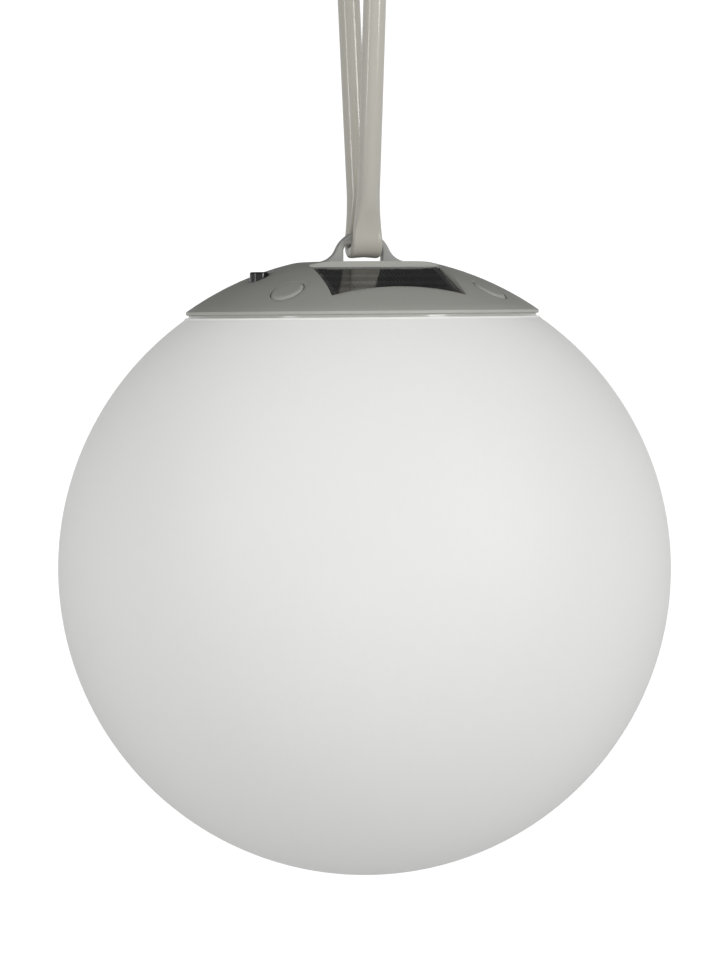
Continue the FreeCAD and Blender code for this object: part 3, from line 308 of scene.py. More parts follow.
def new_finish(name, colour, roughness, metallic=0.0):
    """A material with one shader."""
    material = bpy.data.materials.new(name)
    material.use_nodes = True
    shader = main_shader(material)
    shader.inputs["Base Color"].default_value = plain_colour(colour)
    shader.inputs["Roughness"].default_value = roughness
    shader.inputs["Metallic"].default_value = metallic
    return material


def new_tree(name, kind, inputs, outputs):
    """A node tree with named inputs and outputs, and the sockets that it is built between."""
    tree = bpy.data.node_groups.new(name, kind)
    for way, sockets in (("INPUT", inputs), ("OUTPUT", outputs)):
        for socket, socket_kind, value in sockets:
            made = tree.interface.new_socket(name=socket, in_out=way, socket_type=socket_kind)
            if value is not None:
                made.default_value = value
    return tree, tree.nodes.new("NodeGroupInput").outputs, tree.nodes.new("NodeGroupOutput").inputs


# moulded skin: slow shade changes, fine grain in the polish and a little relief
skin, skin_in, skin_out = new_tree("moulded skin", "ShaderNodeTree", [
    ("Colour", "NodeSocketColor", (0.5, 0.5, 0.5, 1)),
    ("Second Colour", "NodeSocketColor", (0.5, 0.5, 0.5, 1)),
    ("Patch Size", "NodeSocketFloat", 12.0),
    ("Grain Size", "NodeSocketFloat", 900.0),
    ("Smoothest", "NodeSocketFloat", 0.4),
    ("Roughest", "NodeSocketFloat", 0.6),
    ("Relief", "NodeSocketFloat", 0.0001),
], [("Colour", "NodeSocketColor", None), ("Roughness", "NodeSocketFloat", None),
    ("Normal", "NodeSocketVector", None)])
spot = put(skin, "ShaderNodeTexCoord")["Object"]
patches = put(skin, "ShaderNodeTexNoise", Vector=spot, Scale=skin_in["Patch Size"], Detail=3.0)["Fac"]
grain = put(skin, "ShaderNodeTexNoise", Vector=spot, Scale=skin_in["Grain Size"], Detail=2.0)["Fac"]
blotch = put(skin, "ShaderNodeMix", {"data_type": "RGBA"}, _0=patches, _6=skin_in["Colour"],
             _7=skin_in["Second Colour"])[2]
polish = put(skin, "ShaderNodeMapRange", Value=grain, To_Min=skin_in["Smoothest"],
             To_Max=skin_in["Roughest"])["Result"]
relief = put(skin, "ShaderNodeBump", Height=grain, Distance=skin_in["Relief"])["Normal"]
for name, feed in (("Colour", blotch), ("Roughness", polish), ("Normal", relief)):
    skin.links.new(feed, skin_out[name])


def moulded_finish(name, colour, second, smoothest, roughest, patch=12.0, grain_size=900.0, depth=0.0001):
    """Moulded plastic or rubber: the skin's colour, polish and relief on one shader."""
    material = new_finish(name, colour, (smoothest + roughest) / 2)
    tree = material.node_tree
    surface = put(tree, "ShaderNodeGroup", {"node_tree": skin}, Colour=plain_colour(colour),
                  Second_Colour=plain_colour(second), Patch_Size=patch, Grain_Size=grain_size,
                  Smoothest=smoothest, Roughest=roughest, Relief=depth)
    for socket, feed in (("Base Color", "Colour"), ("Roughness", "Roughness"), ("Normal", "Normal")):
        tree.links.new(surface[feed], main_shader(material).inputs[socket])
    return material


def fed_by(shader, name):
    """The socket that feeds one of a shader's inputs."""
    return shader.inputs[name].links[0].from_socket


def wear(node, material):
    """A CAD node keeps its mesh and takes this finish."""
    mesh = cad[node].data
    mesh.materials.clear()
    mesh.materials.append(material)


# extruded rubber: the skin, drawn out into faint streaks along the tube by its own map
strap_rubber = moulded_finish("strap rubber", (191, 188, 178), (186, 183, 173), 0.09, 0.14, depth=0.00003)
strap_tree, strap = strap_rubber.node_tree, main_shader(strap_rubber)
around_tube = put(strap_tree, "ShaderNodeUVMap", {"uv_map": "tube"})["UV"]
drawn = put(strap_tree, "ShaderNodeMapping", Vector=around_tube, Scale=(60, 9, 1))["Vector"]
streaks = put(strap_tree, "ShaderNodeTexNoise", Vector=drawn, Scale=1.0, Detail=2.0)["Fac"]
furrows = put(strap_tree, "ShaderNodeBump", Height=streaks, Distance=0.00003, Strength=0.6,
              Normal=fed_by(strap, "Normal"))["Normal"]
strap_tree.links.new(furrows, strap.inputs["Normal"])
tube_mesh.materials.append(strap_rubber)
hanging_tube = new_piece("hanging_tube_soft", tube_mesh, "hanger")
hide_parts("hanging_tube")

clear_plastic = moulded_finish("clear plastic", (214, 216, 214), (206, 208, 206), 0.12, 0.25)
clear = main_shader(clear_plastic)
clear.inputs["Transmission Weight"].default_value = 0.7
clear.inputs["IOR"].default_value = 1.49
wear("tube_joiner", clear_plastic)

# ---- globe ------------------------------------------------------------------------------
# The globe is blown from opal plastic, 2.2 mm thick, matt outside, and open under the cap.
# Its flat rim is held between the tray's seal and the clamp's two half rings.

globe_radius = 0.150
globe_wall = 0.0022
seat_radius = 0.087
neck_radius = 0.0645
seat_height = RIM - 0.0031
collar_height = 0.0009
collar_inner = 0.0857
collar_outer = 0.0868
collar_round = 0.0005
globe_centre = seat_height - math.sqrt(globe_radius ** 2 - seat_radius ** 2)
outline_steps = 72
turn_steps = 160
corner_count = 5
GEOMETRY = ("Geometry", "NodeSocketGeometry", None)


def reckon(tree, operation, first, second=0.0, third=0.0):
    """One step of arithmetic in a tree."""
    return put(tree, "ShaderNodeMath", {"operation": operation}, _0=first, _1=second, _2=third)["Value"]


def choose(tree, test, no, yes):
    """One value or the other, by a test that gives 0 or 1."""
    return reckon(tree, "MULTIPLY_ADD", test, reckon(tree, "SUBTRACT", yes, no), no)


def vector(tree, **parts):
    """A vector in a tree from its X, Y and Z."""
    return put(tree, "ShaderNodeCombineXYZ", **parts)["Vector"]


def moved(tree, form, **steps):
    """A form shifted by its X, Y and Z steps."""
    return put(tree, "GeometryNodeTransform", Geometry=form, Translation=vector(tree, **steps))["Geometry"]


def finished(tree, form, material):
    """A form made plain, in one material."""
    plain = put(tree, "GeometryNodeRealizeInstances", Geometry=form)["Geometry"]
    return put(tree, "GeometryNodeSetMaterial", Geometry=plain, Material=material)["Geometry"]


def grow(name, mesh, tree, values):
    """The plain mesh that a tree makes of a mesh, with its inputs set to these values."""
    holder = bpy.data.objects.new(name, mesh)
    scene.collection.objects.link(holder)
    modifier = holder.modifiers.new("growth", "NODES")
    modifier.node_group = tree
    for item in tree.interface.items_tree:
        if item.in_out == "INPUT" and item.name in values:
            modifier[item.identifier] = values[item.name]
    view = bpy.context.evaluated_depsgraph_get()
    view.update()
    grown = bpy.data.meshes.new_from_object(holder.evaluated_get(view))
    grown.name = name
    bpy.data.objects.remove(holder)
    return grown


# a ball turned from one closed outline: outside from the seat to the pole, inside back up to the
# neck, out across the flat seat, and up round the low collar that stands outside the tray's band
ball, ball_in, ball_out = new_tree("blown ball", "GeometryNodeTree", [
    GEOMETRY,
    ("Radius", "NodeSocketFloat", 0.15),
    ("Wall", "NodeSocketFloat", 0.002),
    ("Centre Height", "NodeSocketFloat", 0.0),
    ("Seat Height", "NodeSocketFloat", 0.1),
    ("Neck Radius", "NodeSocketFloat", 0.06),
    ("Collar Height", "NodeSocketFloat", 0.0009),
    ("Collar Inner", "NodeSocketFloat", 0.0857),
    ("Collar Outer", "NodeSocketFloat", 0.0868),
    ("Collar Round", "NodeSocketFloat", 0.0005),
    ("Outline Steps", "NodeSocketInt", outline_steps),
    ("Turn Steps", "NodeSocketInt", turn_steps),
    ("Finish", "NodeSocketMaterial", None),
], [GEOMETRY])
steps = ball_in["Outline Steps"]
last = reckon(ball, "SUBTRACT", steps, 1)
both_arcs = reckon(ball, "MULTIPLY", steps, 2)
count = reckon(ball, "ADD", both_arcs, corner_count)
outline = put(ball, "GeometryNodeCurvePrimitiveCircle", Resolution=count)["Curve"]
index = put(ball, "GeometryNodeInputIndex")["Index"]
is_inside = reckon(ball, "GREATER_THAN", index, last)
inner_radius = reckon(ball, "SUBTRACT", ball_in["Radius"], ball_in["Wall"])
rise = reckon(ball, "SUBTRACT", ball_in["Seat Height"], ball_in["Centre Height"])
seat_angle = reckon(ball, "ARCCOSINE", reckon(ball, "DIVIDE", rise, ball_in["Radius"]))
inner_rise = reckon(ball, "SUBTRACT", rise, ball_in["Wall"])
neck_angle = reckon(ball, "ARCCOSINE", reckon(ball, "DIVIDE", inner_rise, inner_radius))
out_angle = put(ball, "ShaderNodeMapRange", Value=index, From_Min=0.0, From_Max=last,
                To_Min=seat_angle, To_Max=math.pi)["Result"]
in_angle = put(ball, "ShaderNodeMapRange", Value=index, From_Min=steps,
               From_Max=reckon(ball, "ADD", steps, last), To_Min=math.pi, To_Max=neck_angle)["Result"]
angle = choose(ball, is_inside, out_angle, in_angle)
reach = choose(ball, is_inside, ball_in["Radius"], inner_radius)
across = reckon(ball, "MULTIPLY", reach, reckon(ball, "SINE", angle))
up = reckon(ball, "MULTIPLY", reach, reckon(ball, "COSINE", angle))
collar_top = reckon(ball, "ADD", rise, ball_in["Collar Height"])
CORNERS = (
    (ball_in["Neck Radius"], inner_rise),
    (ball_in["Neck Radius"], rise),
    (ball_in["Collar Inner"], rise),
    (ball_in["Collar Inner"], collar_top),
    (ball_in["Collar Outer"], collar_top),
)
for number, (corner_across, corner_up) in enumerate(CORNERS):
    is_past = reckon(ball, "GREATER_THAN", index, reckon(ball, "ADD", both_arcs, number - 0.5))
    across = choose(ball, is_past, across, corner_across)
    up = choose(ball, is_past, up, corner_up)
around = put(ball, "GeometryNodeCurvePrimitiveCircle", Resolution=ball_in["Turn Steps"],
             Radius=ball_in["Radius"])["Curve"]
spot = vector(ball, X=reckon(ball, "SUBTRACT", across, ball_in["Radius"]), Y=reckon(ball, "MULTIPLY", up, -1))
outline = put(ball, "GeometryNodeSetPosition", Geometry=outline, Position=spot)["Geometry"]
# only the last two corners, the collar's top edges, are rounded
is_collar = reckon(ball, "GREATER_THAN", index, reckon(ball, "ADD", both_arcs, corner_count - 2.5))
outline = put(ball, "GeometryNodeFilletCurve", {"mode": "POLY"}, Curve=outline, Count=5, Limit_Radius=True,
              Radius=reckon(ball, "MULTIPLY", is_collar, ball_in["Collar Round"]))["Curve"]
around = put(ball, "GeometryNodeSetCurveNormal", {"mode": "Z_UP"}, Curve=around)["Curve"]
shell = put(ball, "GeometryNodeCurveToMesh", Curve=around, Profile_Curve=outline)["Mesh"]
shell = put(ball, "GeometryNodeMergeByDistance", Geometry=shell, Distance=0.00001)["Geometry"]
shell = moved(ball, shell, Z=ball_in["Centre Height"])
ball.links.new(finished(ball, shell, ball_in["Finish"]), ball_out["Geometry"])

opal_plastic = moulded_finish("opal plastic", (232, 232, 230), (229, 229, 227), 0.5, 0.6, patch=5,
                              grain_size=1500)
same_spot = 0.000002
no_length = 0.0000005


def face_out(mesh, crease=35):
    """Merge what lies together, point the faces outwards, and keep only the real edges sharp."""
    shape = bmesh.new()
    shape.from_mesh(mesh)
    bmesh.ops.remove_doubles(shape, verts=shape.verts, dist=same_spot)
    bmesh.ops.dissolve_degenerate(shape, edges=shape.edges, dist=no_length)
    for edge in [edge for edge in shape.edges if not edge.link_faces]:
        shape.edges.remove(edge)
    bmesh.ops.recalc_face_normals(shape, faces=shape.faces)
    for face in shape.faces:
        face.smooth = True
    shape.to_mesh(mesh)
    shape.free()
    mesh.set_sharp_from_angle(angle=math.radians(crease))
    return mesh


globe_mesh = grow("globe", bpy.data.meshes.new("seed"), ball, {
    "Radius": globe_radius, "Wall": globe_wall, "Centre Height": globe_centre, "Seat Height": seat_height,
    "Neck Radius": neck_radius, "Collar Height": collar_height, "Collar Inner": collar_inner,
    "Collar Outer": collar_outer, "Collar Round": collar_round, "Outline Steps": outline_steps,
    "Turn Steps": turn_steps, "Finish": opal_plastic})
globe = new_piece("globe_opal", face_out(globe_mesh), "lamp")
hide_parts("globe_shell")

# the opal wall spreads the light that enters it, so its shaded sides stay lighter than the cap's
spread_light = bpy.data.collections.new("opal only")
spread_light.objects.link(globe)
for holder in (
        softbox("opal left light", azimuth=62, height=1.3, distance=1.8, width=1.0, tall=1.0, power=4.5,
                streak=False),
        softbox("opal top light", azimuth=0, height=2.2, distance=0.01, width=5.0, tall=5.0, power=46.0,
                streak=False)):
    holder.light_linking.receiver_collection = spread_light

# ---- seals, clamp and tray --------------------------------------------------------------
# Flat rings and beads of soft black rubber keep the rain out of the cap, its window and its button.
# Two half rings take the cap screws under the globe's rim, and the base tray lies above it.
# Half rings and tray are moulded in a smooth pale grey plastic; the tray's rim is the band under the cap.

seal_rubber = moulded_finish("seal rubber", (38, 38, 37), (30, 30, 30), 0.5, 0.7)
for node in ("globe_seal", "dome_seal", "panel_seal", "button_seal"):
    wear(node, seal_rubber)
tray_plastic = moulded_finish("tray plastic", (196, 196, 191), (190, 190, 186), 0.10, 0.16, depth=0.00001)
wear("clamp_halves", tray_plastic)
wear("base_tray", tray_plastic)

# ---- screws -----------------------------------------------------------------------------
# Thirteen small steel screws with round heads, cross recesses and rolled threads hold the cap,
# the eye, the boards and the battery holder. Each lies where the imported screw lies.

thread_pitch = 0.0008
shank_overlap = 0.0002
# the rest of a screw's shape, in shares of its head, its shank or its pitch
head_taper = 0.72
shank_share = 0.86
ridge_height = 0.40
ridge_root_share = 0.84
halves_apart = -0.999
first_turn_at = -0.8
blank_turns = 0.6
recess_long = 1.05
recess_wide = 0.24
recess_deep = 1.3


def times(tree, value, share):
    """A share of a value in a tree."""
    return reckon(tree, "MULTIPLY", value, share)


def welded(tree, forms):
    """Closed forms joined into one."""
    return put(tree, "GeometryNodeMeshBoolean", {"operation": "UNION", "solver": "EXACT"},
               Mesh_2=forms)["Mesh"]


def cut(tree, form, tool):
    """A closed form with another one taken out of it."""
    return put(tree, "GeometryNodeMeshBoolean", {"operation": "DIFFERENCE", "solver": "EXACT"},
               Mesh_1=form, Mesh_2=tool)["Mesh"]


screw, screw_in, screw_out = new_tree("cross screws", "GeometryNodeTree", [
    GEOMETRY,
    ("Head Radius", "NodeSocketFloat", 0.003),
    ("Head Height", "NodeSocketFloat", 0.002),
    ("Shank Radius", "NodeSocketFloat", 0.0015),
    ("Shank Length", "NodeSocketFloat", 0.010),
    ("Pitch", "NodeSocketFloat", thread_pitch),
    ("Finish", "NodeSocketMaterial", None),
], [GEOMETRY])
head_radius, head_height = screw_in["Head Radius"], screw_in["Head Height"]
shank_radius, shank_length, pitch = screw_in["Shank Radius"], screw_in["Shank Length"], screw_in["Pitch"]
head = put(screw, "GeometryNodeMeshCone", Vertices=28, Side_Segments=1, Radius_Bottom=head_radius,
           Radius_Top=times(screw, head_radius, head_taper), Depth=head_height)["Mesh"]
half_length = reckon(screw, "MULTIPLY_ADD", shank_length, -0.5, shank_overlap)
shank = put(screw, "GeometryNodeMeshCylinder", Vertices=20, Radius=times(screw, shank_radius, shank_share),
            Depth=reckon(screw, "ADD", shank_length, 2 * shank_overlap))["Mesh"]
shank = moved(screw, shank, Z=half_length)
# one turn of the thread is two cones, foot to foot
ridge_half = times(screw, pitch, ridge_height)
ridge_root = times(screw, shank_radius, ridge_root_share)
ridges = []
for bottom, top, step in ((shank_radius, ridge_root, 0), (ridge_root, shank_radius, halves_apart)):
    cone = put(screw, "GeometryNodeMeshCone", Vertices=20, Side_Segments=1, Radius_Bottom=bottom,
               Radius_Top=top, Depth=ridge_half)["Mesh"]
    ridges.append(moved(screw, cone, Z=times(screw, ridge_half, step)))
turns = reckon(screw, "SUBTRACT", reckon(screw, "DIVIDE", shank_length, pitch), blank_turns)
turn_line = put(screw, "GeometryNodeMeshLine", Count=reckon(screw, "FLOOR", turns),
                Start_Location=vector(screw, Z=times(screw, pitch, first_turn_at)),
                Offset=vector(screw, Z=times(screw, pitch, -1)))["Mesh"]
thread = put(screw, "GeometryNodeInstanceOnPoints", Points=turn_line,
             Instance=welded(screw, ridges))["Instances"]
thread = put(screw, "GeometryNodeRealizeInstances", Geometry=thread)["Geometry"]
blank = welded(screw, [head, shank, thread])
slots = []
for shares in ((recess_long, recess_wide), (recess_wide, recess_long)):
    size = vector(screw, X=times(screw, head_radius, shares[0]), Y=times(screw, head_radius, shares[1]),
                  Z=times(screw, head_height, recess_deep))
    slots.append(put(screw, "GeometryNodeMeshCube", Size=size)["Mesh"])
blank = cut(screw, blank, moved(screw, welded(screw, slots), Z=head_height))
placed = put(screw, "GeometryNodeInstanceOnPoints", Points=screw_in["Geometry"], Instance=blank)["Instances"]
screw.links.new(finished(screw, placed, screw_in["Finish"]), screw_out["Geometry"])


def brushed_finish(name, colour, smoothest, roughest, stretch, darker=0.9, depth=0.00003):
    """Bare metal with fine marks from rolling or turning, drawn out along one way."""
    material = new_finish(name, colour, smoothest, metallic=1.0)
    tree = material.node_tree
    spot = put(tree, "ShaderNodeTexCoord")["Object"]
    drawn = put(tree, "ShaderNodeMapping", Vector=spot, Scale=stretch)["Vector"]
    marks = put(tree, "ShaderNodeTexNoise", Vector=drawn, Scale=1.0, Detail=3.0)["Fac"]
    polish = put(tree, "ShaderNodeMapRange", Value=marks, To_Min=smoothest, To_Max=roughest)["Result"]
    shade = put(tree, "ShaderNodeMix", {"data_type": "RGBA"}, _0=marks, _6=plain_colour(colour),
                _7=plain_colour([part * darker for part in colour]))[2]
    relief = put(tree, "ShaderNodeBump", Height=marks, Distance=depth)["Normal"]
    for socket, feed in (("Roughness", polish), ("Base Color", shade), ("Normal", relief)):
        tree.links.new(feed, main_shader(material).inputs[socket])
    return material


def solids_of(node):
    """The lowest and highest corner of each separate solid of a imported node."""
    shape = bmesh.new()
    shape.from_mesh(cad[node].data)
    bmesh.ops.remove_doubles(shape, verts=shape.verts, dist=same_spot / 2)
    left, boxes = set(shape.verts), []
    while left:
        todo, spots = [left.pop()], []
        while todo:
            vertex = todo.pop()
            spots.append(vertex.co.copy())
            near = {edge.other_vert(vertex) for edge in vertex.link_edges} & left
            left -= near
            todo.extend(near)
        boxes.append((Vector(map(min, zip(*spots))), Vector(map(max, zip(*spots)))))
    shape.free()
    return sorted(boxes, key=lambda box: (round(box[0].x, 4), round(box[0].y, 4)))


screw_steel = brushed_finish("screw steel", (186, 187, 186), 0.22, 0.4, (900, 900, 2500))
# each kind's head height, shank radius, and whether its tip points up or down
SCREWS = {
    "cap_screws": (0.0024, 0.0015, -1),
    "eye_screws": (0.0016, 0.0015, 1),
    "board_screws": (0.0016, 0.0015, 1),
    "holder_screws": (0.0016, 0.0015, -1),
    "led_screws": (0.0016, 0.0015, 1),
}
for node, (head_height, shank_radius, tip_way) in SCREWS.items():
    boxes = solids_of(node)
    low, high = boxes[0]
    points = bpy.data.meshes.new(f"{node} places")
    # a screw is drawn tip down, so one that points up is drawn at minus its height and mirrored
    seats = [((a.x + b.x) / 2, (a.y + b.y) / 2,
              b.z - head_height if tip_way < 0 else -(a.z + head_height)) for a, b in boxes]
    points.from_pydata(seats, [], [])
    screws = grow(node, points, screw, {
        "Head Radius": (high.x - low.x) / 2, "Head Height": head_height, "Shank Radius": shank_radius,
        "Shank Length": high.z - low.z - head_height, "Pitch": thread_pitch, "Finish": screw_steel})
    if tip_way > 0:
        for vertex in screws.vertices:
            vertex.co.z = -vertex.co.z
    made = new_piece(f"{node}_cross", face_out(screws, crease=25), "lamp")
    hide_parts(node)

# ---- light board ------------------------------------------------------------------------
# Eight small lights on a round board under the tray's floor, below a clear moulded cover.
# Each light is a white moulded frame with a drop of yellow resin in it, on green laminate.

board_laminate = moulded_finish("board laminate", (30, 84, 54), (24, 72, 46), 0.28, 0.42)
laminate_tree = board_laminate.node_tree
spot = put(laminate_tree, "ShaderNodeTexCoord")["Object"]
tracks = put(laminate_tree, "ShaderNodeTexBrick", {"offset": 0.5}, Vector=spot, Scale=160.0, Mortar_Size=0.05,
             Color1=plain_colour((30, 84, 54)), Color2=plain_colour((26, 76, 49)),
             Mortar=plain_colour((52, 118, 76)))["Color"]
laminate_tree.links.new(tracks, main_shader(board_laminate).inputs["Base Color"])
wear("led_board", board_laminate)
wear("led_cover", clear_plastic)

led_side = 0.005
led_height = 0.0016
led_window = 0.0019
# the pit and the drop in it, in shares of the window's radius or the light's height
pit_taper = 0.8
pit_depth = 0.5
pit_drop = -0.55
drop_share = 0.92
drop_flatness = 0.30
drop_place = -0.18
lights, lights_in, lights_out = new_tree("small lights", "GeometryNodeTree", [
    GEOMETRY,
    ("Side", "NodeSocketFloat", led_side),
    ("Height", "NodeSocketFloat", led_height),
    ("Window Radius", "NodeSocketFloat", led_window),
    ("Frame Finish", "NodeSocketMaterial", None),
    ("Drop Finish", "NodeSocketMaterial", None),
], [GEOMETRY])
side, tall, window = lights_in["Side"], lights_in["Height"], lights_in["Window Radius"]
block = put(lights, "GeometryNodeMeshCube", Size=vector(lights, X=side, Y=side, Z=tall))["Mesh"]
pit = put(lights, "GeometryNodeMeshCone", Vertices=24, Radius_Bottom=window,
          Radius_Top=times(lights, window, pit_taper), Depth=times(lights, tall, pit_depth))["Mesh"]
block = cut(lights, block, moved(lights, pit, Z=times(lights, tall, pit_drop)))
block = put(lights, "GeometryNodeSetMaterial", Geometry=block, Material=lights_in["Frame Finish"])["Geometry"]
drop = put(lights, "GeometryNodeMeshUVSphere", Segments=24, Rings=10,
           Radius=times(lights, window, drop_share))["Mesh"]
drop = put(lights, "GeometryNodeTransform", Geometry=drop, Scale=(1, 1, drop_flatness),
           Translation=vector(lights, Z=times(lights, tall, drop_place)))["Geometry"]
drop = put(lights, "GeometryNodeSetMaterial", Geometry=drop, Material=lights_in["Drop Finish"])["Geometry"]
one = put(lights, "GeometryNodeJoinGeometry", Geometry=[block, drop])["Geometry"]
# each light faces away from the board's middle
place = put(lights, "GeometryNodeInputPosition")["Position"]
outward = put(lights, "ShaderNodeVectorMath", {"operation": "MULTIPLY"}, _0=place, _1=(1, 1, 0))["Vector"]
facing = put(lights, "FunctionNodeAlignRotationToVector", {"axis": "X"}, Vector=outward)["Rotation"]
many = put(lights, "GeometryNodeInstanceOnPoints", Points=lights_in["Geometry"], Instance=one,
           Rotation=facing)["Instances"]
many = put(lights, "GeometryNodeRealizeInstances", Geometry=many)["Geometry"]
lights.links.new(many, lights_out["Geometry"])

led_frame = moulded_finish("led frame", (236, 236, 230), (228, 228, 222), 0.3, 0.4)
led_resin = moulded_finish("led resin", (236, 222, 120), (228, 208, 100), 0.12, 0.2)
led_places = bpy.data.meshes.new("led places")
led_places.from_pydata([(low + high) / 2 for low, high in solids_of("leds")], [], [])
led_mesh = grow("leds", led_places, lights, {
    "Side": led_side, "Height": led_height, "Window Radius": led_window,
    "Frame Finish": led_frame, "Drop Finish": led_resin})
leds = new_piece("leds_resin", face_out(led_mesh), "lamp")
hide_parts("leds")

# ---- battery and control board ----------------------------------------------------------
# One round cell in an aluminium can lies in a black moulded holder, between tin spring plates.
# The control board is green laminate; its chip, coil and switch are moulded in black, and its
# two capacitors are aluminium cans. Screws hold the board and the holder.

wear("control_board", board_laminate)
switch_plastic = moulded_finish("switch plastic", (44, 45, 47), (36, 37, 39), 0.35, 0.5)
for node in ("battery_holder", "push_switch", "switch_plunger", "driver_chip", "inductor"):
    wear(node, switch_plastic)
can_aluminium = brushed_finish("can aluminium", (200, 201, 203), 0.2, 0.34, (60, 1400, 1400))
wear("battery_cell", can_aluminium)
wear("capacitors", can_aluminium)
tab_tin = brushed_finish("tab tin", (205, 205, 200), 0.2, 0.38, (700, 120, 700))
wear("battery_contacts", tab_tin)

# ---- cap dome ---------------------------------------------------------------------------
# The cap is moulded in pale grey plastic with a satin skin. Its lip, the solar window and the
# four screw wells have small soft edges that catch the light. The eye on top is moulded apart in
# a darker grey, and screwed on from inside.

edge_width = 0.00035
edge_angle = 40
flat_angle = 0.4


def soft_edged(name, node):
    """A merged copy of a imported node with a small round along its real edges."""
    mesh = cad[node].data.copy()
    mesh.name = name
    shape = bmesh.new()
    shape.from_mesh(mesh)
    bmesh.ops.remove_doubles(shape, verts=shape.verts, dist=same_spot)
    bmesh.ops.dissolve_limit(shape, angle_limit=math.radians(flat_angle), verts=shape.verts,
                            edges=shape.edges)
    for face in shape.faces:
        face.smooth = True
    shape.to_mesh(mesh)
    shape.free()
    holder = bpy.data.objects.new(name, mesh)
    scene.collection.objects.link(holder)
    bevel = holder.modifiers.new("soft edges", "BEVEL")
    bevel.width = edge_width
    bevel.segments = 2
    bevel.limit_method = "ANGLE"
    bevel.angle_limit = math.radians(edge_angle)
    bevel.use_clamp_overlap = True
    bevel.harden_normals = False
    view = bpy.context.evaluated_depsgraph_get()
    view.update()
    rounded = bpy.data.meshes.new_from_object(holder.evaluated_get(view))
    bpy.data.objects.remove(holder)
    rounded.materials.clear()
    return rounded


grey_plastic = moulded_finish("grey plastic", (183, 183, 177), (177, 177, 171), 0.46, 0.56, patch=7)
main_shader(grey_plastic).inputs["IOR"].default_value = 1.38
dome_mesh = soft_edged("cap dome", "cap_dome")
dome_mesh.materials.append(grey_plastic)
cap_dome = new_piece("cap_dome_soft", dome_mesh, "lamp")
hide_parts("cap_dome")
eye_plastic = moulded_finish("eye plastic", (170, 170, 167), (164, 164, 161), 0.3, 0.4)
wear("hanging_eye", eye_plastic)

# ---- screw plugs ------------------------------------------------------------------------
# Four round plugs of grey rubber, pushed into the wells over the cap screws.
# Their tops follow the dome, a hair above it, and end in a soft rolled edge.

plug_radius = 0.0079
plug_edge = 0.0021
plug_proud = 0.0007
dome_radius = 0.150
lip_radius = 0.0862
lip_height = 0.00076
dome_centre = RIM + lip_height - math.sqrt(dome_radius ** 2 - lip_radius ** 2)
plug_rubber = moulded_finish("plug rubber", (184, 184, 179), (179, 179, 174), 0.34, 0.44)
PLUG_SIDES = 48
PLUG_RINGS = (0.0, 0.25, 0.5, 0.68, 0.79, 0.84, 0.89, 0.94, 0.975, 1.0)
plug_shape = bmesh.new()
for low, high in solids_of("screw_plugs"):
    middle = (low + high) / 2
    rows = []
    for share in PLUG_RINGS:
        r = plug_radius * share
        inward = max(0, r - (plug_radius - plug_edge))
        roll = plug_edge - math.sqrt(max(0, plug_edge ** 2 - inward ** 2))
        row = []
        for step in range(PLUG_SIDES if share else 1):
            angle = 2 * math.pi * step / PLUG_SIDES
            x, y = middle.x + r * math.cos(angle), middle.y + r * math.sin(angle)
            z = dome_centre + math.sqrt(dome_radius ** 2 - x * x - y * y) + plug_proud - roll
            row.append(plug_shape.verts.new((x, y, z)))
        rows.append(row)
    rows.append([plug_shape.verts.new((vertex.co.x, vertex.co.y, low.z)) for vertex in rows[-1]])
    for step in range(PLUG_SIDES):
        after = (step + 1) % PLUG_SIDES
        plug_shape.faces.new((rows[0][0], rows[1][step], rows[1][after]))
        for inner, outer in zip(rows[1:], rows[2:]):
            plug_shape.faces.new((inner[step], outer[step], outer[after], inner[after]))
    plug_shape.faces.new(list(reversed(rows[-1])))
plug_mesh = bpy.data.meshes.new("screw plugs")
plug_shape.to_mesh(plug_mesh)
plug_shape.free()
plug_mesh.materials.append(plug_rubber)
plugs = new_piece("screw_plugs_rolled", face_out(plug_mesh, crease=60), "lamp")
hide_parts("screw_plugs")

# ---- solar panel ------------------------------------------------------------------------
# Four dark silicon strips on a black board, joined by tin tabs, under a glossy clear cover.
# Thin printed fingers run across each strip, and a black bead seals the cover in its window.

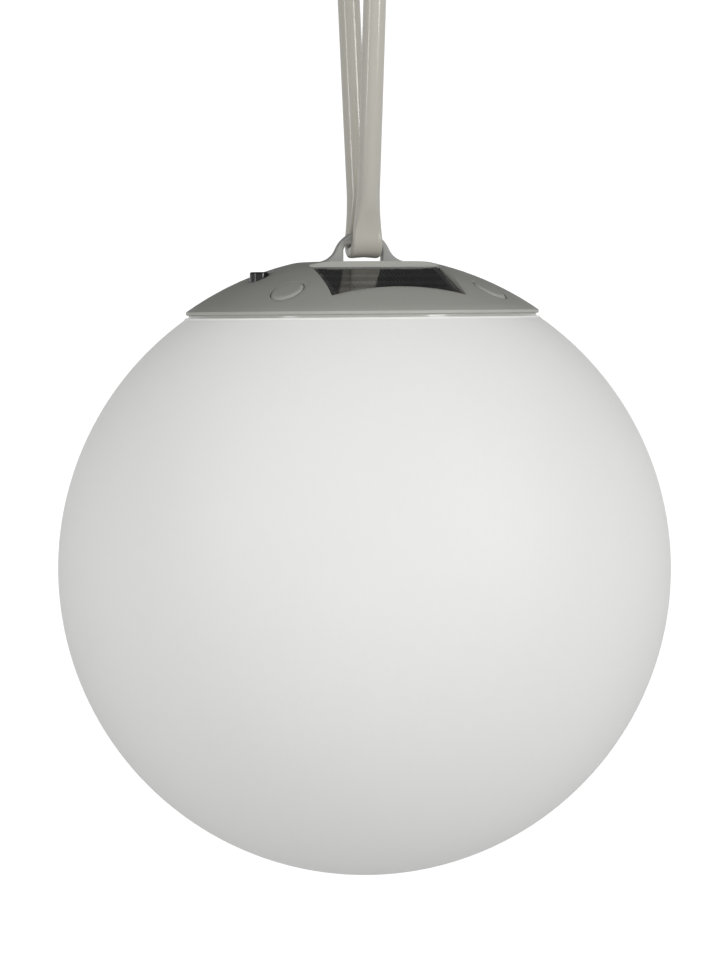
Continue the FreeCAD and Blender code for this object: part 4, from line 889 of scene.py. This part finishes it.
cell_silicon = moulded_finish("cell silicon", (24, 24, 27), (18, 18, 22), 0.16, 0.28)
silicon_tree, silicon = cell_silicon.node_tree, main_shader(cell_silicon)
spot = put(silicon_tree, "ShaderNodeTexCoord")["Object"]
stripes = put(silicon_tree, "ShaderNodeTexWave", {"wave_type": "BANDS", "bands_direction": "X"},
              Vector=spot, Scale=170.0, Distortion=0.0)["Fac"]
fingers = put(silicon_tree, "ShaderNodeMapRange", Value=stripes, From_Min=0.93, From_Max=0.98)["Result"]
printed = put(silicon_tree, "ShaderNodeMix", {"data_type": "RGBA"}, _0=fingers,
              _6=fed_by(silicon, "Base Color"), _7=plain_colour((62, 62, 66)))[2]
silicon_tree.links.new(printed, silicon.inputs["Base Color"])
wear("solar_cells", cell_silicon)
wear("cell_tabs", tab_tin)
black_laminate = moulded_finish("black laminate", (22, 22, 23), (17, 17, 18), 0.35, 0.5)
wear("panel_board", black_laminate)

panel_glaze = new_finish("panel glaze", (246, 247, 246), 0.04)
glaze_tree, glaze = panel_glaze.node_tree, main_shader(panel_glaze)
glaze.inputs["Transmission Weight"].default_value = 1.0
glaze.inputs["IOR"].default_value = 1.42
spot = put(glaze_tree, "ShaderNodeTexCoord")["Object"]
film = put(glaze_tree, "ShaderNodeTexNoise", Vector=spot, Scale=60.0, Detail=3.0)["Fac"]
haze = put(glaze_tree, "ShaderNodeMapRange", Value=film, From_Min=0.35, From_Max=0.7, To_Min=0.03,
           To_Max=0.10)["Result"]
glaze_tree.links.new(haze, glaze.inputs["Roughness"])
wear("panel_cover", panel_glaze)

# ---- button -----------------------------------------------------------------------------
# A short black rubber cap on the left shoulder, pressed to choose how the lamp lights.
# It is moulded with a polished skin, and slides in its sleeve.

button_rubber = moulded_finish("button rubber", (20, 20, 20), (14, 14, 14), 0.10, 0.16, depth=0.00002)
wear("mode_button", button_rubber)

# ---- wires ------------------------------------------------------------------------------
# Thin wires inside the lamp: a pair to the panel, a pair to the cell and a pair to the lights.
# Each has a soft red jacket.

wire_jacket = moulded_finish("wire jacket", (158, 36, 30), (146, 30, 26), 0.28, 0.4)
for node in ("panel_leads", "battery_leads", "led_leads"):
    wear(node, wire_jacket)
